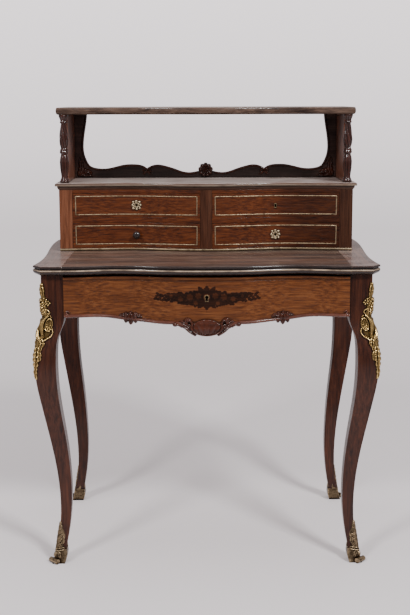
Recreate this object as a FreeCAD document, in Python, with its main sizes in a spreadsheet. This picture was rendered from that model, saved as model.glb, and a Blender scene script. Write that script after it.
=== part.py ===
import FreeCAD, Part
import math
import os
import re

from FreeCAD import Vector

# Bonheur du jour: a serpentine writing desk on cabriole legs, with a sliding leaf, a frieze
# drawer, a low cabinet of four drawers on the top, and an open gallery above the cabinet.
# Millimetres. X to the right, Y to the back, Z up. The origin is on the floor below the middle
# of the outline's box.

SIZES = {
    # Writing top: plan, measured from the origin towards the front unless said otherwise.
    # A value that starts with an equals sign follows from the ones before it.
    "top_height": 745.0,
    "top_thick": 22.0,
    "top_half_width": 410.0,
    "top_bow": 275.0,
    "hollow_back": 24.0,
    "shoulder_back": 7.0,
    "tip_back": 35.0,
    "top_hollow": "=top_bow - hollow_back",
    "top_shoulder": "=top_bow - shoulder_back",
    "top_tip": "=top_bow - tip_back",
    "top_rear": 270.0,
    "shoulder_length": 53.0,
    "corner_cut": 20.0,
    "side_hollow": 7.0,
    "side_swell": 3.0,
    "rear_round": 12.0,
    # Edge moulding of the top: a lip, a quirk and an ovolo.
    "lip_thick": 6.0,
    "lip_inset": 2.6,
    "quirk_depth": 5.0,
    "ovolo_thick": 13.5,
    "ovolo_inset": 10.0,
    # Sliding leaf between the fixed ends.
    "seam_set": 1.0,
    "slide_gap": 0.5,
    "seat_gap": 0.3,
    "rear_rail_width": 33.0,
    "leaf_rear": "=top_rear - rear_rail_width",
    # Legs: one template for both faces.
    "top_overhang": 19.0,
    "leg_back": 27.0,
    "rear_overhang": 13.0,
    "leg_front": "=top_bow - leg_back",
    "leg_rear": "=top_rear - rear_overhang",
    "stile_width": 52.5,
    "stile_drop": 101.0,
    "hip_out": 8.0,
    "knee_out": 17.0,
    "thigh_out": 7.7,
    "shank_in": 10.1,
    "calf_in": 24.7,
    "shin_in": 29.9,
    "ankle_in": 28.7,
    "foot_in": 23.5,
    "instep_in": 18.0,
    "toe_in": 10.0,
    "hip_width": 47.5,
    "knee_width": 50.0,
    "thigh_width": 44.4,
    "shank_width": 38.4,
    "calf_width": 31.9,
    "shin_width": 27.4,
    "ankle_width": 24.6,
    "foot_width": 23.0,
    "instep_width": 24.0,
    "toe_width": 27.0,
    # Sabots: shoe, leaf up the outer arris, scrolled toe.
    "sole_thick": 8.0,
    "shoe_wall": 2.2,
    "shoe_height": 34.0,
    "shoe_leaf_height": 100.0,
    "shoe_leaf_half": 15.0,
    "toe_radius": 6.5,
    "toe_reach": 4.0,
    # Chutes on the outer arrises of the front legs.
    "chute_wall": 4.0,
    "chute_top_drop": 16.0,
    "chute_length": 228.0,
    "chute_half": 17.0,
    "chute_boss": 11.0,
    # Aprons.
    "apron_set_in": 4.0,
    "apron_thick": 20.0,
    "apron_dip": 16.0,
    # Frieze drawer.
    "frieze_set_back": 14.0,
    "frieze_thick": 62.0,
    "frieze_inner": "=top_bow - frieze_thick",
    "frieze_head_gap": 5.5,
    "frieze_dip": 42.0,
    "frieze_bead_drop": 5.5,
    "frieze_groove": 4.5,
    "frieze_groove_depth": 2.2,
    "frieze_trim_height": 7.0,
    "frieze_trim_proud": 3.0,
    "lining_set_in": 15.5,
    "lining_thick": 12.0,
    "lining_height": 58.0,
    "frieze_rear_room": 98.0,
    "frieze_back": "=top_rear - frieze_rear_room",
    "frieze_bottom_thick": 6.0,
    "frieze_bottom_lift": 5.0,
    "headroom": 3.0,
    "bearer_thick": 17.0,
    "bearer_reach": 40.0,
    "runner_thick": 18.0,
    "runner_reach": 8.0,
    "runner_guide": 14.0,
    # Carvings and lock of the frieze drawer.
    "cartouche_half": 78.0,
    "cartouche_rise": 43.0,
    "cartouche_fall": 3.5,
    "cartouche_proud": 6.0,
    "cartouche_boss": 24.0,
    "cartouche_boss_rise": 15.0,
    "cartouche_boss_proud": 11.0,
    "leaf_carving_at": 181.0,
    "leaf_carving_half": 19.0,
    "leaf_carving_rise": 20.0,
    "leaf_carving_fall": 11.0,
    "leaf_carving_proud": 5.0,
    "keyhole_drop": 47.0,
    "keyhole_radius": 4.0,
    "keyhole_skirt": 9.0,
    "thread_width": 1.6,
    "thread_proud": 0.6,
    "lock_half_width": 30.0,
    "lock_thick": 11.0,
    # Cabinet.
    "cabinet_set_in": 35.0,
    "cabinet_hollow": 28.0,
    "cabinet_rise": 28.4,
    "cabinet_bow": "=cabinet_hollow - cabinet_rise",
    "cabinet_end": 14.0,
    "cabinet_inner": 50.0,
    "cabinet_rear_set": 20.0,
    "cabinet_rear": "=top_rear - cabinet_rear_set",
    "cabinet_lift": 1.0,
    "floor_thick": 8.0,
    "drawer_height": 63.0,
    "mid_rail": 13.0,
    "top_rail": 9.0,
    "stile_end": 33.0,
    "stile_mid": 30.0,
    "side_thick": 18.0,
    "partition_thick": 12.0,
    "dust_board_thick": 8.0,
    "guide_height": 18.0,
    "cabinet_back_thick": 8.0,
    "strip_height": 5.0,
    "strip_proud": 2.5,
    # Small drawers.
    "drawer_gap": 0.6,
    "drawer_side": 8.0,
    "drawer_bottom": 5.0,
    "drawer_rear_gap": 5.0,
    "drawer_side_drop": 6.0,
    "string_inset": 6.5,
    "string_width": 2.4,
    "string_depth": 1.4,
    "string_proud": 0.3,
    "plate_half": 14.0,
    "plate_rise": 13.0,
    "plate_proud": 1.6,
    "small_keyhole_radius": 2.4,
    "small_keyhole_skirt": 6.0,
    "small_lock_half": 20.0,
    "small_lock_height": 30.0,
    "small_lock_thick": 9.0,
    "knob_radius": 10.0,
    "knob_length": 20.0,
    # Shelf over the cabinet.
    "shelf_thick": 17.0,
    "shelf_overhang": 9.0,
    "shelf_lip": 7.5,
    "shelf_lip_inset": 2.6,
    "shelf_cove": 9.0,
    # Gallery.
    "gallery_height": 172.0,
    "gallery_top_thick": 18.0,
    "crown_overhang": 3.2,
    "gallery_nose": 5.0,
    "column_set_in": 14.0,
    "column_set_back": 13.0,
    "column_radius": 12.0,
    "gallery_side_thick": 14.0,
    "gallery_side_scoop": 18.0,
    "gallery_back_set": 32.0,
    "gallery_back_front": "=cabinet_rear - gallery_back_set",
    "gallery_back_thick": 14.0,
    "gallery_ear": 34.0,
    "crest_height": 36.0,
    "rosette_radius": 20.0,
    "rosette_proud": 8.0,
    # One overrun serves every cutting box and prism.
    "overrun": 30.0,
}

# Heights of the leg template as shares of the leg's height, from hip to foot.
LEG_HEIGHT_SHARES = (0.8, 0.735, 0.58, 0.448, 0.317, 0.2075, 0.144, 0.083, 0.042)
LEG_STATIONS = ("hip", "knee", "thigh", "shank", "calf", "shin", "ankle", "foot", "instep")
# How far a foot splays outward for each unit that it drops.
SPLAY_SHARE = 0.35

# Front edge of the top: share of the half front, share of the rise from hollow to crest.
TOP_BOW_SHARES = ((0.0, 1.0), (0.313, 0.72), (0.64, 0.0))
TOP_SHOULDER_SHARES = ((0.905, 0.9), (1.0, 1.0))
# Profiles of the edge moulding, from the foot up: share of the height, share of the inset.
OVOLO_SHARES = ((0.0, 1.0), (0.13, 0.5), (0.4, 0.14), (0.75, 0.0), (1.0, 0.14))
LIP_SHARES = ((0.0, 0.6), (0.35, 0.0), (0.7, 0.1), (1.0, 1.0))
COVE_SHARES = ((0.0, 1.0), (0.2, 0.8), (0.5, 0.62), (1.0, 0.55))
SHELF_LIP_SHARES = ((0.0, 0.0), (0.65, 0.0), (0.9, 0.4), (1.0, 1.0))
CROWN_SHARES = ((0.0, 0.9), (0.1, 0.4), (0.3, 0.05), (0.6, 0.0), (0.85, 0.15), (1.0, 0.7))
# Side edge of the top: share of the depth between tip and rear corner.
SIDE_HOLLOW_SHARE = 0.35
SIDE_SWELL_SHARE = 0.88

# Lower edge of the frieze front: share of the half width, share of the dip.
FRIEZE_EDGE_SHARES = (
    (0.0, 1.0), (0.054, 0.95), (0.085, 0.86), (0.121, 0.70), (0.156, 0.51), (0.19, 0.42),
    (0.29, 0.38), (0.37, 0.34), (0.455, 0.28), (0.59, 0.19), (0.66, 0.10), (0.73, 0.03),
    (0.80, 0.0), (1.0, 0.0),
)
APRON_EDGE_SHARES = ((0.0, 1.0), (0.25, 0.8), (0.5, 0.2), (0.72, 0.0), (1.0, 0.0))

# Front of the cabinet: share of the half width, share of the way from end (0) to hollow (1).
CABINET_FRONT_SHARES = ((0.475, 1.0), (0.72, 0.68), (1.0, 0.0))
CABINET_BOW_SHARES = ((0.0, 0.0), (0.227, 0.3))

# Crest of the gallery back: share of the half length, share of the crest's height.
CREST_SHARES = (
    (0.0, 0.55), (0.035, 0.52), (0.105, 0.39), (0.17, 0.45), (0.225, 0.65), (0.295, 0.87),
    (0.345, 0.97), (0.39, 0.92), (0.432, 0.68), (0.472, 0.92), (0.53, 1.0), (0.60, 0.97),
    (0.68, 0.78), (0.735, 0.68), (0.80, 0.70), (0.86, 0.95),
)
# Which of these points is the notch that divides the crest.
CREST_NOTCH = 8
# Ears of the gallery back: share of the ear's width beyond its root, share of the height.
EAR_SHARES = ((0.95, 0.25), (0.72, 0.38), (0.68, 0.52), (0.80, 0.72), (1.0, 1.0))

# Turned column: share of the height, share of the radius, bulge of the run up to it.
COLUMN_SHARES = (
    (0.0, 1.0, 0.0), (0.06, 1.0, 0.0), (0.09, 0.8, 0.0), (0.11, 0.62, 0.0), (0.38, 0.66, 0.30),
    (0.42, 0.92, 0.0), (0.455, 0.92, 0.07), (0.465, 0.80, 0.0), (0.495, 0.86, 0.07),
    (0.52, 0.58, 0.0), (0.80, 0.50, 0.06), (0.815, 0.78, 0.0), (0.845, 0.78, 0.07),
    (0.86, 0.62, 0.0), (0.95, 0.95, -0.12), (1.0, 1.0, 0.0),
)
# Knob: share of the length, share of the radius, bulge of the run up to it.
KNOB_SHARES = (
    (0.0, 0.55, 0.0), (0.12, 0.55, 0.0), (0.3, 0.34, -0.08), (0.45, 0.45, 0.0),
    (0.68, 1.0, 0.12), (1.0, 0.22, 0.30),
)
# Leaf up the arris of a foot: share of the half width, share of the leaf's height.
SHOE_LEAF_SHARES = ((1.0, 0.0), (1.0, 0.36), (0.62, 0.52), (0.72, 0.62), (0.40, 0.82), (0.0, 1.0))
# Chute: share of the half width, share of the length from the bud down to the tail.
CHUTE_SHARES = (
    (0.0, 0.0), (0.30, 0.05), (0.24, 0.11), (0.52, 0.18), (0.86, 0.25), (0.62, 0.33),
    (0.92, 0.42), (1.0, 0.52), (0.60, 0.61), (0.80, 0.70), (0.45, 0.80), (0.30, 0.92), (0.0, 1.0),
)
# Bosses of a chute: share of the length, share of the boss size.
CHUTE_BOSS_SHARES = ((0.06, 0.45), (0.23, 0.85), (0.38, 0.7), (0.52, 1.0), (0.70, 0.6))
# How far each boss is sunk into the arris, along X and Y, as a share of its size.
BOSS_SUNK_SHARE = 0.55
# Cartouche: share of the half width, share of the way from its foot to its head.
CARTOUCHE_SHARES = (
    (0.0, 0.0), (0.12, 0.02), (0.24, 0.12), (0.40, 0.32), (0.55, 0.52), (0.70, 0.62),
    (0.85, 0.62), (1.0, 0.76), (0.90, 0.92), (0.70, 0.84), (0.50, 0.97), (0.25, 0.92), (0.0, 1.0),
)
# Carved leaf: share of the half width, share of the way from its foot to its head.
LEAF_CARVING_SHARES = (
    (-1.0, 0.42), (-0.62, 0.10), (-0.18, 0.22), (0.15, 0.0), (0.62, 0.20), (1.0, 0.62),
    (0.55, 0.72), (0.30, 1.0), (-0.12, 0.66), (-0.55, 0.80),
)
# How far down the dip of the lower edge the carved leaves start.
LEAF_DROP_SHARE = 0.2
# Escutcheon plate: share of the half width, share of the rise from the middle.
PLATE_SHARES = (
    (0.0, -1.0), (0.30, -0.72), (0.72, -0.86), (0.62, -0.40), (1.0, 0.0), (0.62, 0.40),
    (0.72, 0.86), (0.30, 0.72), (0.0, 1.0),
)
GALLERY_SIDE_SHARES = ((0.0, 0.0), (0.24, 0.9), (0.48, 0.35), (0.74, 1.0), (1.0, 0.1))

PETALS = 8
PETAL_SHARES = (1.0, 0.78)
DIAGONAL = 45.0
# Half a length laid along the diagonal, as it shows along X or Y.
ACROSS_SHARE = 0.5 * math.sqrt(0.5)

doc = FreeCAD.newDocument("BonheurDuJour")
sheet = doc.addObject("Spreadsheet::Sheet", "Sizes")
for row, (alias, value) in enumerate(SIZES.items(), 1):
    sheet.set(f"A{row}", alias)
    sheet.set(f"B{row}", str(value))
    sheet.setAlias(f"B{row}", alias)
doc.recompute()

pieces = []


def size(alias):
    """The value of a driving dimension."""
    return float(sheet.get(alias))


def bound(expression):
    """A sum of dimension names as an expression on the sheet's cells."""
    return re.sub(r"[a-z][a-z_]*", lambda name: "Sizes." + name.group(), expression)


def keep(piece, label):
    """Name a finished sub-part."""
    piece.Label = label
    pieces.append(piece)
    return piece


def polyline(points):
    """Straight runs through the points."""
    return [Part.LineSegment(a, b) for a, b in zip(points, points[1:])]


def spline(points, start=None, end=None):
    """One smooth run through the points, with its end directions where given."""
    curve = Part.BSplineCurve()
    if start is None:
        curve.interpolate(Points=points)
    else:
        curve.interpolate(Points=points, InitialTangent=start, FinalTangent=end)
    return curve


def closed_spline(points):
    """One smooth closed run through the points."""
    curve = Part.BSplineCurve()
    curve.interpolate(Points=points, PeriodicFlag=True)
    return curve


def new_body(name):
    return doc.addObject("PartDesign::Body", name)


def new_sketch(body, role, curves, level=None):
    """A sketch of the curves on one of the body's own planes, moved along its normal."""
    sketch = body.newObject("Sketcher::SketchObject", body.Name + "_sketch")
    plane = next(f for f in body.Origin.OriginFeatures if f.Role == role)
    sketch.AttachmentSupport = [(plane, "")]
    sketch.MapMode = "FlatFace"
    if level is not None:
        sketch.setExpression("AttachmentOffset.Base.z", bound(level))
    sketch.addGeometry(curves)
    return sketch


def add_pad(body, sketch, length, symmetric=False):
    pad = body.newObject("PartDesign::Pad", body.Name + "_pad")
    pad.Profile = sketch
    if symmetric:
        pad.SideType = "Symmetric"
    pad.setExpression("Length", bound(length))
    return pad


def prism(name, role, curves, length, level=None, symmetric=False):
    """A body with one padded outline."""
    body = new_body(name)
    sketch = new_sketch(body, role, curves, level)
    add_pad(body, sketch, length, symmetric)
    return body


def board(name, low, high):
    """A rectangular board between two corners given as sums of dimension names."""
    box = doc.addObject("Part::Box", name)
    for side, axis, start, stop in zip(("Length", "Width", "Height"), "xyz", low, high):
        box.setExpression(side, bound(f"({stop}) - ({start})"))
        box.setExpression(f"Placement.Base.{axis}", bound(start))
    return box


def combine(kind, name, *shapes):
    """A boolean of the shapes: the first is the base of a cut."""
    if kind == "Fuse":
        result = doc.addObject("Part::MultiFuse", name)
        result.Shapes = list(shapes)
        return result
    if kind == "Common":
        result = doc.addObject("Part::MultiCommon", name)
        result.Shapes = list(shapes)
        return result
    result = doc.addObject("Part::Cut", name)
    result.Base, result.Tool = shapes
    return result


def mirrored(name, source, normal, base_y="0"):
    """The mirror image of a piece in an upright plane."""
    image = doc.addObject("Part::Mirroring", name)
    image.Source = source
    image.Normal = normal
    image.setExpression("Base.y", bound(base_y))
    return image


def place(piece, **where):
    """Move a piece to a place given as sums of dimension names."""
    for axis, expression in where.items():
        piece.setExpression(f"Placement.Base.{axis}", bound(expression))
    return piece


def both_ways(half):
    """A half outline from the middle outwards, drawn from the left end to the right end."""
    left = [Vector(-p.x, p.y, 0) for p in reversed(half)]
    return left + [p for p in half if p.x > 0]


# Derived sums that several pieces share.
LEG_TOP = "top_height - top_thick"
LEG_OUTER = "top_half_width - top_overhang"
STILE_INNER = "top_half_width - top_overhang - stile_width"
SEAM = STILE_INNER + " + seam_set"
STILE_FOOT = "top_height - top_thick - stile_drop"
APRON_OUTER = LEG_OUTER + " - apron_set_in"
APRON_INNER = APRON_OUTER + " - apron_thick"
CABINET_HALF = "top_half_width - cabinet_set_in"
CABINET_FOOT = "top_height + cabinet_lift"
FLOOR_TOP = CABINET_FOOT + " + floor_thick"
RAIL_FOOT = FLOOR_TOP + " + drawer_height"
RAIL_TOP = RAIL_FOOT + " + mid_rail"
UPPER_HEAD = RAIL_TOP + " + drawer_height"
SHELF_FOOT = UPPER_HEAD + " + top_rail"
SHELF_TOP = SHELF_FOOT + " + shelf_thick"
GALLERY_HEAD = SHELF_TOP + " + gallery_height"


def total(expression):
    """The present value of a sum of dimension names."""
    value = 0.0
    for sign, name in re.findall(r"([+-]?)\s*([a-z][a-z_]*)", expression):
        value += -size(name) if sign == "-" else size(name)
    return value


# Writing top

def top_front(inset):
    """Points of the serpentine front edge between the shoulders, drawn in by an inset."""
    reach = size("top_half_width") - size("corner_cut") - size("shoulder_length")
    hollow = size("top_hollow")
    half = []
    for along, rise in TOP_BOW_SHARES:
        crest = hollow + rise * (size("top_bow") - hollow)
        half.append(Vector(along * reach, inset - crest, 0))
    for along, rise in TOP_SHOULDER_SHARES:
        crest = hollow + rise * (size("top_shoulder") - hollow)
        half.append(Vector(along * reach, inset - crest, 0))
    return both_ways(half)


def top_outline(inset):
    """The whole plan of the top, drawn in by an inset all round but at the back."""
    half = size("top_half_width") - inset
    tip = inset - size("top_tip")
    rear = size("top_rear")
    front = top_front(inset)
    shoulder = Vector(size("top_half_width") - size("corner_cut"), front[-1].y, 0)
    corner = Vector(half, tip, 0)
    depth = rear - tip
    side = [
        corner,
        Vector(half - size("side_hollow"), tip + SIDE_HOLLOW_SHARE * depth, 0),
        Vector(half + size("side_swell"), tip + SIDE_SWELL_SHARE * depth, 0),
        Vector(half, rear - size("rear_round"), 0),
    ]
    end = Vector(half - size("rear_round"), rear, 0)

    def flip(points):
        return [Vector(-p.x, p.y, 0) for p in reversed(points)]

    ahead = Vector(1, 0, 0)
    return (
        [spline(front, ahead, ahead)]
        + polyline([front[-1], shoulder, corner])
        + [spline(side)]
        + polyline([side[-1], end, Vector(-end.x, end.y, 0), Vector(-side[-1].x, side[-1].y, 0)])
        + [spline(flip(side))]
        + polyline([Vector(-corner.x, corner.y, 0), Vector(-shoulder.x, shoulder.y, 0), front[0]])
    )


def moulding(body, outline, foot, height, inset, shares):
    """A moulded layer lofted through inset outlines: shares of its height and of its inset."""
    sections = []
    for rise, depth in shares:
        level = f"{foot} + {height} * {rise}"
        sections.append(new_sketch(body, "XY_Plane", outline(depth * inset), level))
    loft = body.newObject("PartDesign::AdditiveLoft", body.Name + "_loft")
    loft.Profile = sections[0]
    loft.Sections = sections[1:]
    return loft


top_blank = new_body("top_blank")
moulding(top_blank, top_outline, LEG_TOP, "ovolo_thick", size("ovolo_inset"), OVOLO_SHARES)
quirk_plan = top_outline(size("quirk_depth"))
quirk = new_sketch(top_blank, "XY_Plane", quirk_plan, LEG_TOP + " + ovolo_thick")
add_pad(top_blank, quirk, "top_thick - ovolo_thick - lip_thick")
LIP_FOOT = LEG_TOP + " + top_thick - lip_thick"
moulding(top_blank, top_outline, LIP_FOOT, "lip_thick", size("lip_inset"), LIP_SHARES)

FRONT_CLEAR = "-top_bow - overrun"
REAR_CLEAR = "top_rear + overrun"
SKY = "top_height + overrun"
leaf_space = board(
    "leaf_space",
    (f"-({SEAM} - slide_gap)", FRONT_CLEAR, LEG_TOP + " + seat_gap"),
    (SEAM + " - slide_gap", "leaf_rear", SKY),
)
keep(combine("Common", "leaf", top_blank, leaf_space), "writing_leaf")
right_space = board(
    "right_space",
    (SEAM, FRONT_CLEAR, LEG_TOP + " - overrun"),
    ("top_half_width + overrun", REAR_CLEAR, SKY),
)
end_right = keep(combine("Common", "end_right", top_blank, right_space), "top_end_right")
keep(mirrored("end_left", end_right, Vector(1, 0, 0)), "top_end_left")
rear_space = board(
    "rear_space",
    (f"-({SEAM})", "leaf_rear + slide_gap", LEG_TOP + " - overrun"),
    (SEAM, REAR_CLEAR, SKY),
)
keep(combine("Common", "rear_rail", top_blank, rear_space), "top_rear_rail")


# Legs

def leg_profile(outer, sign, grow):
    """The template of a leg against the outer face of its stile: +1 drawn to the right, -1 left."""
    height = total(LEG_TOP)
    foot = total(STILE_FOOT)
    levels = [foot] + [share * height for share in LEG_HEIGHT_SHARES] + [0.0]
    offsets = [0.0]
    widths = [size("stile_width")]
    for station in LEG_STATIONS + ("toe",):
        swells = station + "_out" in SIZES
        offsets.append(size(station + "_out") if swells else -size(station + "_in"))
        widths.append(size(station + "_width"))
    outside = [Vector(sign * (outer + o + grow), z, 0) for o, z in zip(offsets, levels)]
    inside = [Vector(sign * (outer + o - w - grow), z, 0) for o, w, z in zip(offsets, widths, levels)]
    head_out = Vector(outside[0].x, height, 0)
    head_in = Vector(inside[0].x, height, 0)
    down = Vector(0, -1, 0)
    splay = Vector(sign * SPLAY_SHARE, -1, 0)
    outer_run = spline(outside, down, splay)
    inner_run = spline(inside, down, splay)
    return (
        polyline([head_in, head_out, outside[0]])
        + [outer_run]
        + polyline([outside[-1], inside[-1]])
        + [inner_run]
        + polyline([inside[0], head_in])
    )


def leg_blank(name, grow):
    """Two templates sawn from adjacent faces of one block: the right front leg."""
    reach = "leg_front + leg_rear + top_half_width"
    face_curves = leg_profile(total(LEG_OUTER), 1, grow)
    face = prism(name + "_face", "XZ_Plane", face_curves, reach, symmetric=True)
    flank_curves = leg_profile(size("leg_front"), -1, grow)
    flank = prism(
        name + "_flank", "YZ_Plane", flank_curves, reach + " + leg_front", symmetric=True
    )
    return combine("Common", name, face, flank)


RIGHT = Vector(1, 0, 0)
BACK = Vector(0, 1, 0)
LEG_MIDDLE = "(leg_rear - leg_front) / 2"


def four_corners(piece, stem):
    """Mirror a piece of the right front corner to the other corners."""
    keep(piece, stem + "_front_right")
    left = keep(mirrored(stem + "_fl", piece, RIGHT), stem + "_front_left")
    keep(mirrored(stem + "_rr", piece, BACK, LEG_MIDDLE), stem + "_rear_right")
    keep(mirrored(stem + "_rl", left, BACK, LEG_MIDDLE), stem + "_rear_left")


sole_space = board(
    "sole_space",
    (f"{LEG_OUTER} - stile_width - overrun", "-leg_front - overrun", "-overrun"),
    (f"{LEG_OUTER} + overrun", "stile_width + overrun - leg_front", "sole_thick"),
)
leg = combine("Cut", "leg", leg_blank("leg_whole", 0.0), sole_space)
four_corners(leg, "leg")


# Gilt mounts on the legs: outlines seen along the diagonal of the leg, wrapped over its arris.

def on_arris(name, curves, step, length):
    """A prism along the outward diagonal of the right front leg, from a step off its axis out."""
    body = prism(name, "XZ_Plane", curves, length)
    body.Placement.Rotation = FreeCAD.Rotation(Vector(0, 0, 1), DIAGONAL)
    centre = "stile_width / 2"
    place(body, x=f"{LEG_OUTER} - {centre} + {step}", y=f"{centre} - leg_front - ({step})")
    return body


def leaf_outline(shares, half, foot, height):
    """A symmetric outline about the arris."""
    right = [Vector(s * half, foot + t * height, 0) for s, t in shares]
    left = [Vector(-p.x, p.y, 0) for p in reversed(right)]
    return right, left


shoe_blank = leg_blank("shoe_blank", size("shoe_wall"))
shoe_band = board(
    "shoe_band",
    (f"{LEG_OUTER} - stile_width - overrun", "-leg_front - overrun", "0"),
    (f"{LEG_OUTER} + overrun", "stile_width + overrun - leg_front", "shoe_height"),
)
right, left = leaf_outline(SHOE_LEAF_SHARES, size("shoe_leaf_half"), 0, size("shoe_leaf_height"))
shoe_leaf = on_arris(
    "shoe_leaf",
    [spline(right[1:]), spline(left[:-1])] + polyline([left[-2], left[-1], right[0], right[1]]),
    "(-foot_in) / 2", "stile_width + foot_in",
)
shoe_cover = combine("Fuse", "shoe_cover", shoe_band, shoe_leaf)
shoe_skin = combine("Common", "shoe_skin", shoe_blank, shoe_cover)
toe = doc.addObject("Part::Cylinder", "toe")
toe.setExpression("Radius", bound("toe_radius"))
toe.setExpression("Height", bound("toe_width"))
toe.Placement.Rotation = FreeCAD.Rotation(Vector(1, -1, 0), 90)
place(
    toe,
    x=f"{LEG_OUTER} - toe_in + toe_reach - toe_radius + toe_width * {ACROSS_SHARE}",
    y=f"toe_in - leg_front - toe_reach + toe_radius + toe_width * {ACROSS_SHARE}",
    z="toe_radius",
)
shoe_rough = combine("Fuse", "shoe_rough", shoe_skin, toe)
four_corners(combine("Cut", "sabot", shoe_rough, leg), "sabot")

chute_blank = leg_blank("chute_blank", size("chute_wall"))
chute_foot = total(LEG_TOP) - size("chute_top_drop")
right, left = leaf_outline(CHUTE_SHARES, size("chute_half"), chute_foot, -size("chute_length"))
chute_curves = [spline(right), spline(left)]
chute_leaf = on_arris("chute_leaf", chute_curves, "chute_half / 2", "stile_width + overrun")
chute_skin = combine("Common", "chute_skin", chute_blank, chute_leaf)
doc.recompute()


def arris_at(height):
    """Where the outer arris of the right front leg stands at a height."""
    slice_ = leg.Shape.slice(Vector(0, 0, 1), height)
    corners = [v.Point for wire in slice_ for v in wire.Vertexes]
    return max(corners, key=lambda p: p.x - p.y)


bosses = []
for along, swell in CHUTE_BOSS_SHARES:
    boss = doc.addObject("Part::Ellipsoid", "chute_boss")
    boss.setExpression("Radius1", bound(f"chute_boss * {swell}"))
    boss.setExpression("Radius2", bound(f"chute_boss * {swell}"))
    boss.setExpression("Radius3", bound(f"chute_boss * {swell}"))
    sunk = BOSS_SUNK_SHARE * swell * size("chute_boss")
    at = arris_at(chute_foot - along * size("chute_length"))
    boss.Placement.Base = at + Vector(-sunk, sunk, 0)
    bosses.append(boss)
chute_rough = combine("Fuse", "chute_rough", chute_skin, *bosses)
chute = keep(combine("Cut", "chute", chute_rough, leg), "chute_right")
keep(mirrored("chute_l", chute, RIGHT), "chute_left")


# Aprons between the legs, runners and bearers inside them

def apron_edge(shares, half, foot, dip):
    """A scalloped lower edge about the middle."""
    return both_ways([Vector(s * half, foot - d * dip, 0) for s, d in shares])


LEG_BACK_FACE = "stile_width - leg_front"
REAR_LEG_FACE = "leg_rear - stile_width"
half_side = (size("leg_front") + size("leg_rear")) / 2 - size("stile_width")
edge = apron_edge(APRON_EDGE_SHARES, half_side, total(STILE_FOOT), size("apron_dip"))
top_line = total(LEG_TOP)
apron_right = prism(
    "apron_r", "YZ_Plane",
    [spline(edge, RIGHT, RIGHT)]
    + polyline([edge[-1], Vector(edge[-1].x, top_line, 0), Vector(edge[0].x, top_line, 0), edge[0]]),
    "apron_thick", APRON_INNER,
)
place(apron_right, y=LEG_MIDDLE)
keep(apron_right, "apron_right")
keep(mirrored("apron_l", apron_right, RIGHT), "apron_left")
keep(
    board(
        "apron_b",
        (f"-({STILE_INNER})", "leg_rear - apron_set_in - apron_thick", STILE_FOOT),
        (STILE_INNER, "leg_rear - apron_set_in", LEG_TOP),
    ),
    "apron_back",
)

LINING_TOP = LEG_TOP + " - bearer_thick - headroom"
LINING_FOOT = LINING_TOP + " - lining_height"
LINING_OUTER = STILE_INNER + " - lining_set_in"
LINING_INNER = LINING_OUTER + " - lining_thick"
RUNNER_TOP = LINING_FOOT + " - seat_gap"
BOTTOM_TOP = LINING_FOOT + " + frieze_bottom_lift + frieze_bottom_thick"
runner_bed = board(
    "runner_bed",
    (LINING_INNER + " - runner_reach", LEG_BACK_FACE, RUNNER_TOP + " - runner_thick"),
    (APRON_INNER, REAR_LEG_FACE, RUNNER_TOP),
)
runner_guide = board(
    "runner_guide",
    (LINING_OUTER + " + slide_gap", LEG_BACK_FACE, RUNNER_TOP),
    (LINING_OUTER + " + slide_gap + runner_guide", REAR_LEG_FACE, LINING_TOP),
)
runner_right = combine("Fuse", "runner_right", runner_bed, runner_guide)
runner_left = mirrored("runner_left", runner_right, RIGHT)
keep(combine("Fuse", "runners", runner_right, runner_left), "drawer_runners")
bearer_right = board(
    "bearer_right",
    (STILE_INNER + " - bearer_reach", LEG_BACK_FACE, LEG_TOP + " - bearer_thick"),
    (APRON_INNER, REAR_LEG_FACE, LEG_TOP),
)
bearer_left = mirrored("bearer_left", bearer_right, RIGHT)
keep(combine("Fuse", "bearers", bearer_right, bearer_left), "leaf_bearers")


# Frieze drawer

FRIEZE_HALF = STILE_INNER + " - slide_gap"
FRIEZE_HEAD = LEG_TOP + " - frieze_head_gap"


def frieze_face(proud):
    """The serpentine face of the frieze as a run of curves, standing proud of the front."""
    front = top_front(size("frieze_set_back") - proud)
    reach = total(FRIEZE_HALF)
    ahead = Vector(1, 0, 0)
    first = Vector(-reach, front[0].y, 0)
    last = Vector(reach, front[-1].y, 0)
    curve = [spline(front, ahead, ahead)]
    return polyline([first, front[0]]) + curve + polyline([front[-1], last]), first, last


def frieze_layer(name, proud):
    """The space from the flat inner face out to a face that stands proud of the front."""
    face, first, last = frieze_face(proud)
    inner = -size("frieze_inner")
    sides = polyline([last, Vector(last.x, inner, 0), Vector(first.x, inner, 0), first])
    return prism(name, "XY_Plane", face + sides, "top_height")


def relief(name, outline, proud, core):
    """A raised piece: an outline seen from the front, from the frieze's face out to its height."""
    reach = "top_bow + overrun"
    slab = prism(name + "_slab", "XZ_Plane", outline, reach)
    layer = frieze_layer(name + "_layer", proud)
    return combine("Cut", name, combine("Common", name + "_rough", slab, layer), core)


frieze_core = frieze_layer("frieze_core", 0.0)
edge = apron_edge(FRIEZE_EDGE_SHARES, total(FRIEZE_HALF), total(STILE_FOOT), size("frieze_dip"))
head = total(FRIEZE_HEAD)
front_slab = prism(
    "front_slab", "XZ_Plane",
    [spline(edge, RIGHT, RIGHT)]
    + polyline([edge[-1], Vector(edge[-1].x, head, 0), Vector(edge[0].x, head, 0), edge[0]]),
    "top_bow + overrun",
)
front_rough = combine("Common", "front_rough", frieze_core, front_slab)
groove_layer = combine(
    "Cut", "groove_layer", frieze_layer("groove_outer", size("overrun") / 2),
    frieze_layer("groove_inner", -size("frieze_groove_depth")),
)
groove_band = board(
    "groove_band",
    ("-top_half_width", "-top_bow - overrun", FRIEZE_HEAD + " - frieze_bead_drop - frieze_groove"),
    ("top_half_width", "0", FRIEZE_HEAD + " - frieze_bead_drop"),
)
groove = combine("Common", "groove", groove_layer, groove_band)
front_grooved = combine("Cut", "front_grooved", front_rough, groove)


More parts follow.
